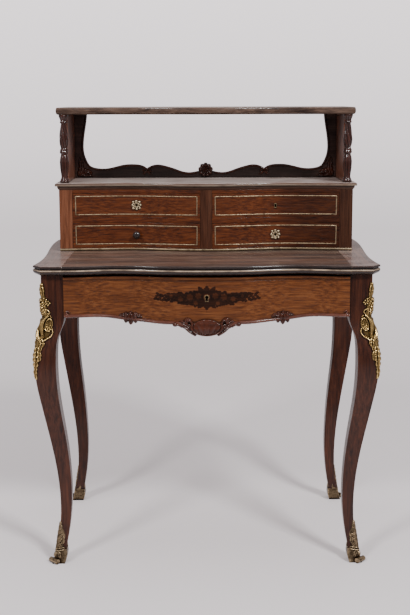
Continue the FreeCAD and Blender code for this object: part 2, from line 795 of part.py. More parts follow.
def keyhole(centre_x, centre_z, radius, skirt):
    """A round eye over a flared skirt."""
    eye = Vector(centre_x, centre_z, 0)
    neck_share = 0.6
    flare_share = 0.85
    drop_share = 0.8
    left_neck = eye + Vector(-neck_share * radius, -drop_share * radius, 0)
    right_neck = eye + Vector(neck_share * radius, -drop_share * radius, 0)
    left_foot = eye + Vector(-flare_share * radius, -skirt, 0)
    right_foot = eye + Vector(flare_share * radius, -skirt, 0)
    arc = Part.Arc(right_neck, eye + Vector(0, radius, 0), left_neck)
    return [arc] + polyline([left_neck, left_foot, right_foot, right_neck])


key_z = head - size("keyhole_drop")
key_curves = keyhole(0, key_z, size("keyhole_radius"), size("keyhole_skirt"))
key_slot = prism("key_slot", "XZ_Plane", key_curves, "top_bow + overrun")
frieze_front = combine("Cut", "frieze_front", front_grooved, key_slot)
keep(frieze_front, "frieze_drawer_front")
trim_edge = [p + Vector(0, size("frieze_trim_height"), 0) for p in edge]
trim = relief(
    "trim",
    [spline(edge, RIGHT, RIGHT)]
    + polyline([edge[-1], trim_edge[-1]])
    + [spline(trim_edge, RIGHT, RIGHT)]
    + polyline([trim_edge[0], edge[0]]),
    size("frieze_trim_proud"), frieze_core,
)

carving_foot = total(STILE_FOOT) - size("frieze_dip") - size("cartouche_fall")
carving_height = size("cartouche_rise") + size("cartouche_fall")
right, left = leaf_outline(CARTOUCHE_SHARES, size("cartouche_half"), carving_foot, carving_height)
shell = relief("shell", [spline(right), spline(left)], size("cartouche_proud"), frieze_core)
boss = doc.addObject("Part::Ellipsoid", "shell_boss")
boss.setExpression("Radius1", bound("cartouche_boss_rise"))
boss.setExpression("Radius2", bound("cartouche_boss_proud"))
boss.setExpression("Radius3", bound("cartouche_boss"))
boss.Placement.Rotation = FreeCAD.Rotation(Vector(0, 0, 1), 90)
place(boss, y="frieze_set_back - top_bow + seat_gap", z=f"{STILE_FOOT} - frieze_dip + cartouche_boss_rise")
shell_boss = combine("Cut", "shell_boss_cut", boss, frieze_core)
cartouche = combine("Fuse", "cartouche", shell, shell_boss)
leaf_foot = total(STILE_FOOT) - size("leaf_carving_fall") - LEAF_DROP_SHARE * size("frieze_dip")
leaf_height = size("leaf_carving_rise") + size("leaf_carving_fall")
carved = []
for sign in (1, -1):
    outline = []
    for along, rise in LEAF_CARVING_SHARES:
        out = size("leaf_carving_at") + along * size("leaf_carving_half")
        outline.append(Vector(sign * out, leaf_foot + rise * leaf_height, 0))
    tag = "r" if sign > 0 else "l"
    curves = [closed_spline(outline)]
    carved.append(
        relief(f"leaf_carving_{tag}", curves, size("leaf_carving_proud"), frieze_core)
    )
carved_leaves = combine("Fuse", "carved_leaves", *carved)
keep(cartouche, "frieze_cartouche")
leaves_clear = combine("Cut", "leaves_clear", carved_leaves, cartouche)
keep(leaves_clear, "frieze_carved_leaves")
trim_clear = combine("Cut", "trim_clear", combine("Cut", "trim_part", trim, cartouche), leaves_clear)
keep(trim_clear, "frieze_bead")

thread_outer = keyhole(
    0, key_z,
    size("keyhole_radius") + size("thread_width"),
    size("keyhole_skirt") + size("thread_width"),
)
thread = relief("thread", thread_outer, size("thread_proud"), frieze_core)
thread_ring = combine("Cut", "thread_ring", thread, key_slot)
lock_case = board(
    "lock_case",
    ("-lock_half_width", "-frieze_inner", BOTTOM_TOP + " + seat_gap"),
    ("lock_half_width", "lock_thick - frieze_inner", LINING_TOP),
)
keep(combine("Fuse", "frieze_lock", thread_ring, lock_case), "frieze_lock")

lining_right = board(
    "lining_right",
    (LINING_INNER, "-frieze_inner", LINING_FOOT),
    (LINING_OUTER, "frieze_back", LINING_TOP),
)
lining_left = mirrored("lining_left", lining_right, RIGHT)
frieze_back_board = board(
    "frieze_back_board",
    (f"-({LINING_INNER})", "frieze_back - lining_thick", LINING_FOOT + " + frieze_bottom_lift"),
    (LINING_INNER, "frieze_back", LINING_TOP),
)
linings = doc.addObject("Part::Compound", "linings")
linings.Links = [lining_right, lining_left, frieze_back_board]
keep(linings, "frieze_drawer_linings")
keep(
    board(
        "frieze_bottom_board",
        (f"-({LINING_INNER})", "-frieze_inner", LINING_FOOT + " + frieze_bottom_lift"),
        (LINING_INNER, "frieze_back - lining_thick", BOTTOM_TOP),
    ),
    "frieze_drawer_bottom",
)


# Cabinet

def cabinet_front(proud, half):
    """Points of the cabinet's serpentine front, standing proud of it, out to a half width."""
    reach = total(CABINET_HALF)
    end = size("cabinet_end")
    hollow = size("cabinet_hollow")
    bow = size("cabinet_bow")
    points = [Vector(s * reach, bow + t * (hollow - bow) - proud, 0) for s, t in CABINET_BOW_SHARES]
    points += [Vector(s * reach, end + t * (hollow - end) - proud, 0) for s, t in CABINET_FRONT_SHARES]
    points[-1].x = half
    return both_ways(points)


def cabinet_layer(name, proud, back):
    """The space behind the cabinet's front, to a flat plane at the back."""
    front = cabinet_front(proud, total(CABINET_HALF))
    sides = polyline(
        [front[-1], Vector(front[-1].x, back, 0), Vector(front[0].x, back, 0), front[0]]
    )
    return prism(name, "XY_Plane", [spline(front)] + sides, "top_height + gallery_height + top_height")


face_core = cabinet_layer("face_core", 0.0, size("cabinet_inner"))
MID_HALF = "stile_mid / 2"
stile_boards = []
for tag, low_x, high_x, foot in (
    ("r", f"{CABINET_HALF} - stile_end", CABINET_HALF, "top_height"),
    ("l", f"-({CABINET_HALF})", f"stile_end - ({CABINET_HALF})", "top_height"),
    ("m", f"-{MID_HALF}", MID_HALF, CABINET_FOOT),
):
    low, high = (low_x, "-overrun", foot), (high_x, "cabinet_rear", SHELF_FOOT)
    stile_boards.append(board(f"stile_{tag}", low, high))
stile_space = combine("Fuse", "stile_space", *stile_boards)
keep(combine("Common", "stiles", stile_space, face_core), "cabinet_stiles")
rail_boards = []
RAIL_OUTER = CABINET_HALF + " - stile_end"
for tag, low_z, high_z in (
    ("foot", CABINET_FOOT, FLOOR_TOP),
    ("mid", RAIL_FOOT, RAIL_TOP),
    ("head", UPPER_HEAD, SHELF_FOOT),
):
    for side, low_x, high_x in (
        ("r", MID_HALF, RAIL_OUTER),
        ("l", f"-({RAIL_OUTER})", f"-{MID_HALF}"),
    ):
        low, high = (low_x, "-overrun", low_z), (high_x, "cabinet_rear", high_z)
        rail_boards.append(board(f"rail_{tag}_{side}", low, high))
rail_space = combine("Fuse", "rail_space", *rail_boards)
keep(combine("Common", "rails", rail_space, face_core), "cabinet_rails")

BACK_FACE = "cabinet_rear - cabinet_back_thick"
SIDE_FACE = CABINET_HALF + " - side_thick"
side_right = board(
    "side_right",
    (SIDE_FACE, "cabinet_inner", "top_height"),
    (CABINET_HALF, "cabinet_rear", SHELF_FOOT),
)
keep(side_right, "cabinet_side_right")
keep(mirrored("side_left", side_right, RIGHT), "cabinet_side_left")
cabinet_floor = board(
    "floor",
    (f"-({SIDE_FACE})", "cabinet_inner", CABINET_FOOT),
    (SIDE_FACE, BACK_FACE, FLOOR_TOP),
)
keep(cabinet_floor, "cabinet_floor")
cabinet_back = board(
    "back",
    (f"-({SIDE_FACE})", BACK_FACE, CABINET_FOOT),
    (SIDE_FACE, "cabinet_rear", SHELF_FOOT),
)
keep(cabinet_back, "cabinet_back")
PART_HALF = "partition_thick / 2"
partition = board(
    "partition",
    (f"-{PART_HALF}", "cabinet_inner", FLOOR_TOP),
    (PART_HALF, BACK_FACE, SHELF_FOOT),
)
keep(partition, "cabinet_partition")
dust_right = board(
    "dust_right",
    (PART_HALF, "cabinet_inner", RAIL_TOP + " - dust_board_thick"),
    (SIDE_FACE, BACK_FACE, RAIL_TOP),
)
dust_left = mirrored("dust_left", dust_right, RIGHT)
keep(combine("Fuse", "dust_boards", dust_right, dust_left), "cabinet_dust_boards")
guides = []
for tag, level in (("low", FLOOR_TOP), ("high", RAIL_TOP)):
    for spot, near, far in (("mid", PART_HALF, MID_HALF), ("end", RAIL_OUTER, SIDE_FACE)):
        low = (near, "cabinet_inner", level)
        high = (far, BACK_FACE, level + " + guide_height")
        guide = board(f"guide_{tag}_{spot}", low, high)
        guides += [guide, mirrored(f"guide_{tag}_{spot}_l", guide, RIGHT)]
keep(combine("Fuse", "guides", *guides), "cabinet_drawer_guides")
strip_outer = cabinet_layer("strip_outer", size("strip_proud"), size("cabinet_inner"))
strip_layer = combine("Cut", "strip_layer", strip_outer, face_core)
strip_band = board(
    "strip_band",
    (f"-({CABINET_HALF})", "-overrun", CABINET_FOOT),
    (CABINET_HALF, "cabinet_inner", CABINET_FOOT + " + strip_height"),
)
keep(combine("Common", "strip", strip_layer, strip_band), "cabinet_foot_strip")


# Small drawers

def string_frame(name, low_x, high_x, low_z, high_z):
    """A rectangular line of brass let into a drawer front."""
    outer, inner = (
        board(
            name + tag,
            (f"{low_x} + {inset}", "-overrun", f"{low_z} + {inset}"),
            (f"{high_x} - ({inset})", "cabinet_inner", f"{high_z} - ({inset})"),
        )
        for tag, inset in (("_outer", "string_inset"), ("_inner", "string_inset + string_width"))
    )
    frame = combine("Cut", name + "_frame", outer, inner)
    return combine("Common", name, frame, string_layer)


def plate_outline(centre_x, centre_z):
    right, left = leaf_outline(PLATE_SHARES, size("plate_half"), centre_z, size("plate_rise"))
    shift = Vector(centre_x, 0, 0)
    return [spline([p + shift for p in right]), spline([p + shift for p in left])]


string_layer = combine(
    "Cut", "string_layer", cabinet_layer("string_outer", size("string_proud"), size("cabinet_inner")),
    cabinet_layer("string_inner", -size("string_depth"), size("cabinet_inner")),
)
plate_outer = cabinet_layer("plate_outer", size("plate_proud"), size("cabinet_inner"))
plate_layer = combine("Cut", "plate_layer", plate_outer, face_core)
MOUTH_NEAR = MID_HALF + " + drawer_gap"
MOUTH_FAR = RAIL_OUTER + " - drawer_gap"


def turned(name, shares, length, radius):
    """A turned piece standing along +Z: straight runs and bulged runs of one profile."""
    points = [Vector(r * radius, t * length, 0) for t, r, _ in shares]
    curves = polyline([Vector(0, 0, 0), points[0]])
    for start, stop, (_, _, bulge) in zip(points, points[1:], shares[1:]):
        if bulge:
            middle = (start + stop) / 2 + Vector(bulge * radius * math.copysign(1, radius), 0, 0)
            curves.append(Part.Arc(start, middle, stop))
        else:
            curves += polyline([start, stop])
    curves += polyline([points[-1], Vector(0, length, 0), Vector(0, 0, 0)])
    body = new_body(name)
    sketch = new_sketch(body, "XZ_Plane", curves)
    turn = body.newObject("PartDesign::Revolution", name + "_turn")
    turn.Profile = sketch
    turn.ReferenceAxis = (sketch, ["V_Axis"])
    turn.Angle = 360
    return body


def small_drawer(stem, side, low, high, fitting):
    """One drawer: front, box of thin boards, stringing and its lock or knob."""
    near, far = MOUTH_NEAR, MOUTH_FAR
    low_x, high_x = (near, far) if side > 0 else (f"-({far})", f"-({near})")
    low_z = low + " + seat_gap"
    high_z = high + " - drawer_gap"
    space = board(stem + "_space", (low_x, "-overrun", low_z), (high_x, "cabinet_inner", high_z))
    blank = combine("Common", stem + "_blank", space, face_core)
    string = string_frame(stem + "_string", low_x, high_x, low_z, high_z)
    keep(string, f"{stem}_stringing")
    mouth_near = size("stile_mid") / 2 + size("drawer_gap")
    middle_x = side * (mouth_near + total(far)) / 2
    middle_z = (total(low_z) + total(high_z)) / 2
    front = combine("Cut", stem + "_inlaid", blank, string)
    hole = prism(
        stem + "_hole", "XZ_Plane",
        keyhole(middle_x, middle_z, size("small_keyhole_radius"), size("small_keyhole_skirt")),
        "top_half_width", symmetric=True,
    )
    middle = f"({low_x} + {high_x}) / 2"
    level = f"({low_z} + {high_z}) / 2"
    if fitting == "knob":
        keep(front, f"{stem}_front")
        knob = turned(stem + "_knob_blank", KNOB_SHARES, size("knob_length"), size("knob_radius"))
        knob.Placement.Rotation = FreeCAD.Rotation(Vector(1, 0, 0), 90)
        place(knob, x=middle, y="cabinet_hollow", z=level)
        keep(combine("Cut", stem + "_knob_seat", knob, face_core), f"{stem}_knob")
    else:
        keep(combine("Cut", stem + "_front", front, hole), f"{stem}_front")
        if fitting == "plate":
            outline = plate_outline(middle_x, middle_z)
        else:
            outline = keyhole(
                middle_x, middle_z, size("small_keyhole_radius") + size("thread_width"),
                size("small_keyhole_skirt") + size("thread_width"),
            )
        slab = prism(stem + "_plate_slab", "XZ_Plane", outline, "top_half_width", symmetric=True)
        plate = combine("Common", stem + "_plate", slab, plate_layer)
        pierced = combine("Cut", stem + "_pierced", plate, hole)
        case = board(
            stem + "_case",
            (f"{middle} - small_lock_half", "cabinet_inner", f"{level} - small_lock_height / 2"),
            (
                f"{middle} + small_lock_half",
                "cabinet_inner + small_lock_thick",
                f"{level} + small_lock_height / 2",
            ),
        )
        keep(combine("Fuse", stem + "_lock", pierced, case), f"{stem}_lock")
    rear = BACK_FACE + " - drawer_rear_gap"
    head_z = high_z + " - drawer_side_drop"
    walls = [
        board(
            f"{stem}_wall_a",
            (low_x, "cabinet_inner", low_z),
            (f"{low_x} + drawer_side", rear, head_z),
        ),
        board(
            f"{stem}_wall_b",
            (f"{high_x} - drawer_side", "cabinet_inner", low_z),
            (high_x, rear, head_z),
        ),
        board(
            f"{stem}_wall_c",
            (f"{low_x} + drawer_side", f"{rear} - drawer_side", f"{low_z} + drawer_bottom"),
            (f"{high_x} - drawer_side", rear, head_z),
        ),
        board(
            f"{stem}_floor",
            (f"{low_x} + drawer_side", "cabinet_inner", low_z),
            (f"{high_x} - drawer_side", rear, f"{low_z} + drawer_bottom"),
        ),
    ]
    box = doc.addObject("Part::Compound", stem + "_box")
    box.Links = walls
    keep(box, f"{stem}_box")


small_drawer("upper_left_drawer", -1, RAIL_TOP, UPPER_HEAD, "plate")
small_drawer("upper_right_drawer", 1, RAIL_TOP, UPPER_HEAD, "thread")
small_drawer("lower_left_drawer", -1, FLOOR_TOP, RAIL_FOOT, "knob")
small_drawer("lower_right_drawer", 1, FLOOR_TOP, RAIL_FOOT, "plate")


# Moulded shelf over the cabinet and top of the gallery

def shelf_outline(inset):
    """The plan of a shelf over the cabinet, drawn in at the front and the sides."""
    overhang = size("shelf_overhang") - inset
    half = total(CABINET_HALF) + overhang
    front = cabinet_front(overhang, half)
    rear = size("cabinet_rear")
    return [spline(front)] + polyline(
        [front[-1], Vector(half, rear, 0), Vector(-half, rear, 0), front[0]]
    )


shelf = new_body("shelf")
COVE_HEIGHT = "(shelf_thick - shelf_lip)"
moulding(shelf, shelf_outline, SHELF_FOOT, COVE_HEIGHT, size("shelf_cove"), COVE_SHARES)
LIP_SEAT = SHELF_FOOT + " + shelf_thick - shelf_lip"
moulding(shelf, shelf_outline, LIP_SEAT, "shelf_lip", size("shelf_lip_inset"), SHELF_LIP_SHARES)
keep(shelf, "cabinet_shelf")

def crown_outline(inset):
    """The plan of the gallery's top, which overhangs less than the shelf below it."""
    return shelf_outline(inset + size("shelf_overhang") - size("crown_overhang"))


crown = new_body("crown")
moulding(
    crown, crown_outline, GALLERY_HEAD, "gallery_top_thick", size("gallery_nose"), CROWN_SHARES
)
keep(crown, "gallery_top")


# Gallery

COLUMN_X = CABINET_HALF + " - column_set_in"
COLUMN_Y = "cabinet_end + column_set_back"
column = turned("column", COLUMN_SHARES, size("gallery_height"), size("column_radius"))
place(column, x=COLUMN_X, y=COLUMN_Y, z=SHELF_TOP)
keep(column, "gallery_column_right")
keep(mirrored("column_l", column, RIGHT), "gallery_column_left")

side_front = total(COLUMN_Y) + size("column_radius")
foot_z = total(SHELF_TOP)
edge = [
    Vector(side_front + t * size("gallery_side_scoop"), foot_z + s * size("gallery_height"), 0)
    for s, t in GALLERY_SIDE_SHARES
]
rear_y = size("gallery_back_front")
gallery_side = prism(
    "gallery_side", "YZ_Plane",
    [spline(edge)]
    + polyline([edge[-1], Vector(rear_y, edge[-1].y, 0), Vector(rear_y, edge[0].y, 0), edge[0]]),
    "gallery_side_thick", COLUMN_X + " - gallery_side_thick / 2",
)
keep(gallery_side, "gallery_side_right")
keep(mirrored("gallery_side_l", gallery_side, RIGHT), "gallery_side_left")

half = total(COLUMN_X) + size("gallery_side_thick") / 2
root = half - size("gallery_side_thick") - size("gallery_ear")
crest = [Vector(s * half, foot_z + t * size("crest_height"), 0) for s, t in CREST_SHARES]
crest += [
    Vector(root + (1 - s) * size("gallery_ear"), foot_z + t * size("gallery_height"), 0)
    for s, t in EAR_SHARES
]
brow = both_ways(crest[: CREST_NOTCH + 1])
right_run = crest[CREST_NOTCH:]
left_run = [Vector(-p.x, p.y, 0) for p in reversed(right_run)]
head_z = crest[-1].y
gallery_back = prism(
    "gallery_back", "XZ_Plane",
    [spline(left_run), spline(brow), spline(right_run)]
    + polyline(
        [right_run[-1], Vector(half, head_z, 0), Vector(half, foot_z, 0), Vector(-half, foot_z, 0),
         Vector(-half, head_z, 0), left_run[0]]
    ),
    "gallery_back_thick", "-gallery_back_front - gallery_back_thick",
)
keep(gallery_back, "gallery_back")

middle_z = foot_z + size("rosette_radius")
lobes = []
for step in range(2 * PETALS):
    angle = math.pi * step / PETALS
    reach = size("rosette_radius") * PETAL_SHARES[step % 2]
    lobes.append(Vector(reach * math.cos(angle), middle_z + reach * math.sin(angle), 0))
flower_curves = [closed_spline(lobes)]
flower = prism("flower", "XZ_Plane", flower_curves, "rosette_proud / 2", "-gallery_back_front")
eye = doc.addObject("Part::Sphere", "rosette_eye")
eye.setExpression("Radius", bound("rosette_proud"))
place(eye, y="gallery_back_front", z=SHELF_TOP + " + rosette_radius")
eye_space = board(
    "eye_space",
    ("-rosette_radius", "gallery_back_front - overrun", SHELF_TOP),
    ("rosette_radius", "gallery_back_front", SHELF_TOP + " + rosette_radius + rosette_radius"),
)
button = combine("Common", "button", eye, eye_space)
keep(combine("Fuse", "rosette", flower, button), "gallery_rosette")

doc.recompute()

for item in doc.Objects:
    if "Invalid" in item.State or "Error" in item.State:
        raise RuntimeError(f"{item.Name} ({item.Label}) failed: {item.State}")
for piece in pieces:
    if piece.Shape.isNull() or not piece.Shape.isValid() or not piece.Shape.Solids:
        raise RuntimeError(f"{piece.Label} has no sound shape")

os.makedirs("parts", exist_ok=True)
for piece in pieces:
    piece.Shape.exportStep(os.path.join("parts", piece.Label + ".step"))
    box = piece.Shape.optimalBoundingBox(False)
    print(
        f"{piece.Label:28s} solids {len(piece.Shape.Solids)}  volume {piece.Shape.Volume:12.1f}  "
        f"X {box.XMin:7.1f} {box.XMax:7.1f}  Y {box.YMin:7.1f} {box.YMax:7.1f}  "
        f"Z {box.ZMin:7.1f} {box.ZMax:7.1f}"
    )
print(len(pieces), "nodes")
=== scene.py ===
"""Dresses the bonheur du jour: polished veneer, gilt mounts, carving, inlay and studio light."""

from __future__ import annotations

import logging
import math
from abc import ABC, abstractmethod
from dataclasses import dataclass, field
from enum import Enum
from functools import cached_property
from typing import Callable, Iterable, Sequence, Union

import bpy
import numpy as np
from mathutils import Matrix, Vector
from mathutils.bvhtree import BVHTree

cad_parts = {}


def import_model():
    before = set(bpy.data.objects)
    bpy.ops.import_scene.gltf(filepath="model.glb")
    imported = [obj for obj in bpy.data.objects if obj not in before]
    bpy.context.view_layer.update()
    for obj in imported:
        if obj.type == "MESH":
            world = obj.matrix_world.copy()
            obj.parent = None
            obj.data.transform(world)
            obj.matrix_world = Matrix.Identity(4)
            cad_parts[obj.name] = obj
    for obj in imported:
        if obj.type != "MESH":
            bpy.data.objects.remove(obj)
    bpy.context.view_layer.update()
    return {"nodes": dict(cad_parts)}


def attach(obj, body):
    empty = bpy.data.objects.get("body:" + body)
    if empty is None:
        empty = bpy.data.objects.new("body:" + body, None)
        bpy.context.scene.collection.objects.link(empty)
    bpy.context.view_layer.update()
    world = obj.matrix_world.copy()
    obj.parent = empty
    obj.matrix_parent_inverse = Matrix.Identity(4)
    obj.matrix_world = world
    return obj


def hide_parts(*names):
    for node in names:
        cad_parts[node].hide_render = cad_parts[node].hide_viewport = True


log = logging.getLogger("bonheur_du_jour")

Colour = tuple[float, float, float, float]
Point = tuple[float, float]
Placer = Callable[[np.ndarray, np.ndarray, np.ndarray], np.ndarray]
# Metres to the millimetre
MM = 0.001
# Height on a carved sheet, in millimetres, where nothing is carved
BARE = -9.0
# Distance between rays that read a face, in millimetres
RAY_STEP = 2.0


class Grain(Enum):
    """The axis that the grain of a wooden piece runs along."""

    ACROSS = 0
    DEEP = 1
    UPRIGHT = 2

    def drawn(self, share: float) -> list[float]:
        """Gives the factors that draw a texture out along the grain."""
        return [share if axis == self.value else 1.0 for axis in range(3)]


class Half(Enum):
    """A half of the desk, with the sign of its coordinates as value."""

    @property
    def word(self) -> str:
        """The half's name as it stands in node names."""
        return self.name.lower()


class Side(Half):
    """The viewer's left or right half of the desk."""

    LEFT = -1
    RIGHT = 1


class End(Half):
    """The front or rear half of the desk."""

    FRONT = -1
    REAR = 1


# Shader graphs
class Signal:
    """A shader socket that adds Math nodes when it stands in an expression."""

    def __init__(self, graph: "Graph", socket: bpy.types.NodeSocket) -> None:
        """Keeps the graph and the socket."""
        self.graph = graph
        self.socket = socket

    def __add__(self, other: "Value") -> "Signal":
        """Adds two values."""
        return self.graph.maths("ADD", self, other)

    def __sub__(self, other: "Value") -> "Signal":
        """Takes the second value from the first."""
        return self.graph.maths("SUBTRACT", self, other)

    def __rsub__(self, other: "Value") -> "Signal":
        """Takes this value from another."""
        return self.graph.maths("SUBTRACT", other, self)

    def __mul__(self, other: "Value") -> "Signal":
        """Multiplies two values."""
        return self.graph.maths("MULTIPLY", self, other)

    __radd__ = __add__
    __rmul__ = __mul__


Value = Union[Signal, float, Sequence[float]]


class Graph:
    """A node graph that is built from its inputs to its shader."""

    def __init__(self, tree: bpy.types.NodeTree) -> None:
        """Keeps the tree."""
        self.tree = tree
        self.tree.nodes.clear()

    def node(
        self,
        kind: str,
        settings: dict[str, object] | None = None,
        inputs: dict[Union[int, str], Value] | None = None,
        output: Union[int, str] = 0,
    ) -> Signal:
        """Adds a node.

        Args:
            kind: The node's type.
            settings: Its settings, set first. A ramp's stops are (place, colour) pairs.
            inputs: Values or links by socket name or number.
            output: The name or number of the socket to return.

        Returns:
            The wrapped output.
        """
        made = self.tree.nodes.new(kind)
        for key, value in (settings or {}).items():
            if key == "stops":
                self._set_stops(made.color_ramp, value)
            else:
                setattr(made, key, value)
        for key, value in (inputs or {}).items():
            if isinstance(value, Signal):
                self.tree.links.new(value.socket, made.inputs[key])
            else:
                made.inputs[key].default_value = value
        return Signal(self, made.outputs[output])

    @staticmethod
    def _set_stops(ramp: bpy.types.ColorRamp, stops: Sequence[tuple[float, Colour]]) -> None:
        """Gives a colour ramp its stops.

        Args:
            ramp: The ramp.
            stops: Places and colours in rising order.
        """
        while len(ramp.elements) < len(stops):
            ramp.elements.new(1.0)
        for element, (place, colour) in zip(ramp.elements, stops):
            element.position = place
            element.color = colour

    def maths(self, operation: str, first: Value, second: Value) -> Signal:
        """Adds a Math node."""
        return self.node("ShaderNodeMath", {"operation": operation}, {0: first, 1: second})

    def vector(self, operation: str, first: Value, second: Value) -> Signal:
        """Adds a Vector Math node with a vector result."""
        return self.node("ShaderNodeVectorMath", {"operation": operation}, {0: first, 1: second})

    def axis(self, vector: Signal, name: str) -> Signal:
        """Takes one coordinate out of a vector."""
        return self.node("ShaderNodeSeparateXYZ", None, {0: vector}, name)

    def noise(self, spot: Signal, scale: float, detail: float = 2.0, rough: float = 0.5) -> Signal:
        """Adds a noise texture."""
        values = {"Vector": spot, "Scale": scale, "Detail": detail, "Roughness": rough}
        return self.node("ShaderNodeTexNoise", None, values)

    def span(self, value: Signal, low: float, high: float, start: float, end: float) -> Signal:
        """Maps a range of a value to another range, with clamping."""
        values = {"Value": value, "From Min": low, "From Max": high, "To Min": start, "To Max": end}
        return self.node("ShaderNodeMapRange", {"interpolation_type": "SMOOTHSTEP"}, values)

    def ramp(self, value: Signal, stops: Sequence[tuple[float, Colour]]) -> Signal:
        """Adds a colour ramp."""
        return self.node("ShaderNodeValToRGB", {"stops": stops}, {"Fac": value})

    def mix(self, share: Value, first: Value, second: Value, blend: str = "MIX") -> Signal:
        """Mixes two colours."""
        settings = {"data_type": "RGBA", "blend_type": blend}
        return self.node("ShaderNodeMix", settings, {0: share, 6: first, 7: second}, 2)

    def spot(self) -> Signal:
        """Gives the place on the piece at rest."""
        return self.node("ShaderNodeTexCoord", output="Object")

    def edges(self, radius: float) -> Signal:
        """Tells how far the surface bends near a point, which is high along edges.

        Args:
            radius: The reach in metres.

        Returns:
            A mask from 0 on flat faces to 1 on sharp edges.
        """
        eased = self.node("ShaderNodeBevel", {"samples": 6}, {"Radius": radius})
        plain = self.node("ShaderNodeNewGeometry", output="Normal")
        dot = self.node("ShaderNodeVectorMath", {"operation": "DOT_PRODUCT"}, {0: eased, 1: plain}, 1)
        return self.span(1.0 - dot, 0.02, 0.22, 0.0, 1.0)

    def up(self) -> Signal:
        """Tells how far the surface looks up."""
        normal = self.node("ShaderNodeNewGeometry", output="Normal")
        return self.span(self.axis(normal, "Z"), 0.55, 0.97, 0.0, 1.0)

    def open_air(self, reach: float) -> Signal:
        """Tells how open the surface is to the air."""
        return self.node("ShaderNodeAmbientOcclusion", {"samples": 8}, {"Distance": reach}, "AO")

    def finish(self, inputs: dict[Union[int, str], Value], bump: Signal, depth: float) -> None:
        """Closes the graph with a Principled shader.

        Args:
            inputs: The shader's socket values.
            bump: Heights for the surface relief.
            depth: Height of the relief in metres.
        """
        values = {"Strength": 0.6, "Distance": depth, "Height": bump}
        inputs["Normal"] = self.node("ShaderNodeBump", None, values)
        self.close(self.node("ShaderNodeBsdfPrincipled", None, inputs))

    def close(self, shader: Signal, kind: str = "ShaderNodeOutputMaterial") -> None:
        """Links a shader to the graph's surface."""
        made = self.tree.nodes.new(kind)
        self.tree.links.new(shader.socket, made.inputs["Surface"])


def new_material(name: str) -> tuple[bpy.types.Material, Graph]:
    """Starts a material with an empty graph.

    Args:
        name: The material's name.

    Returns:
        The material and its graph.
    """
    material = bpy.data.materials.new(name)
    material.use_nodes = True
    return material, Graph(material.node_tree)


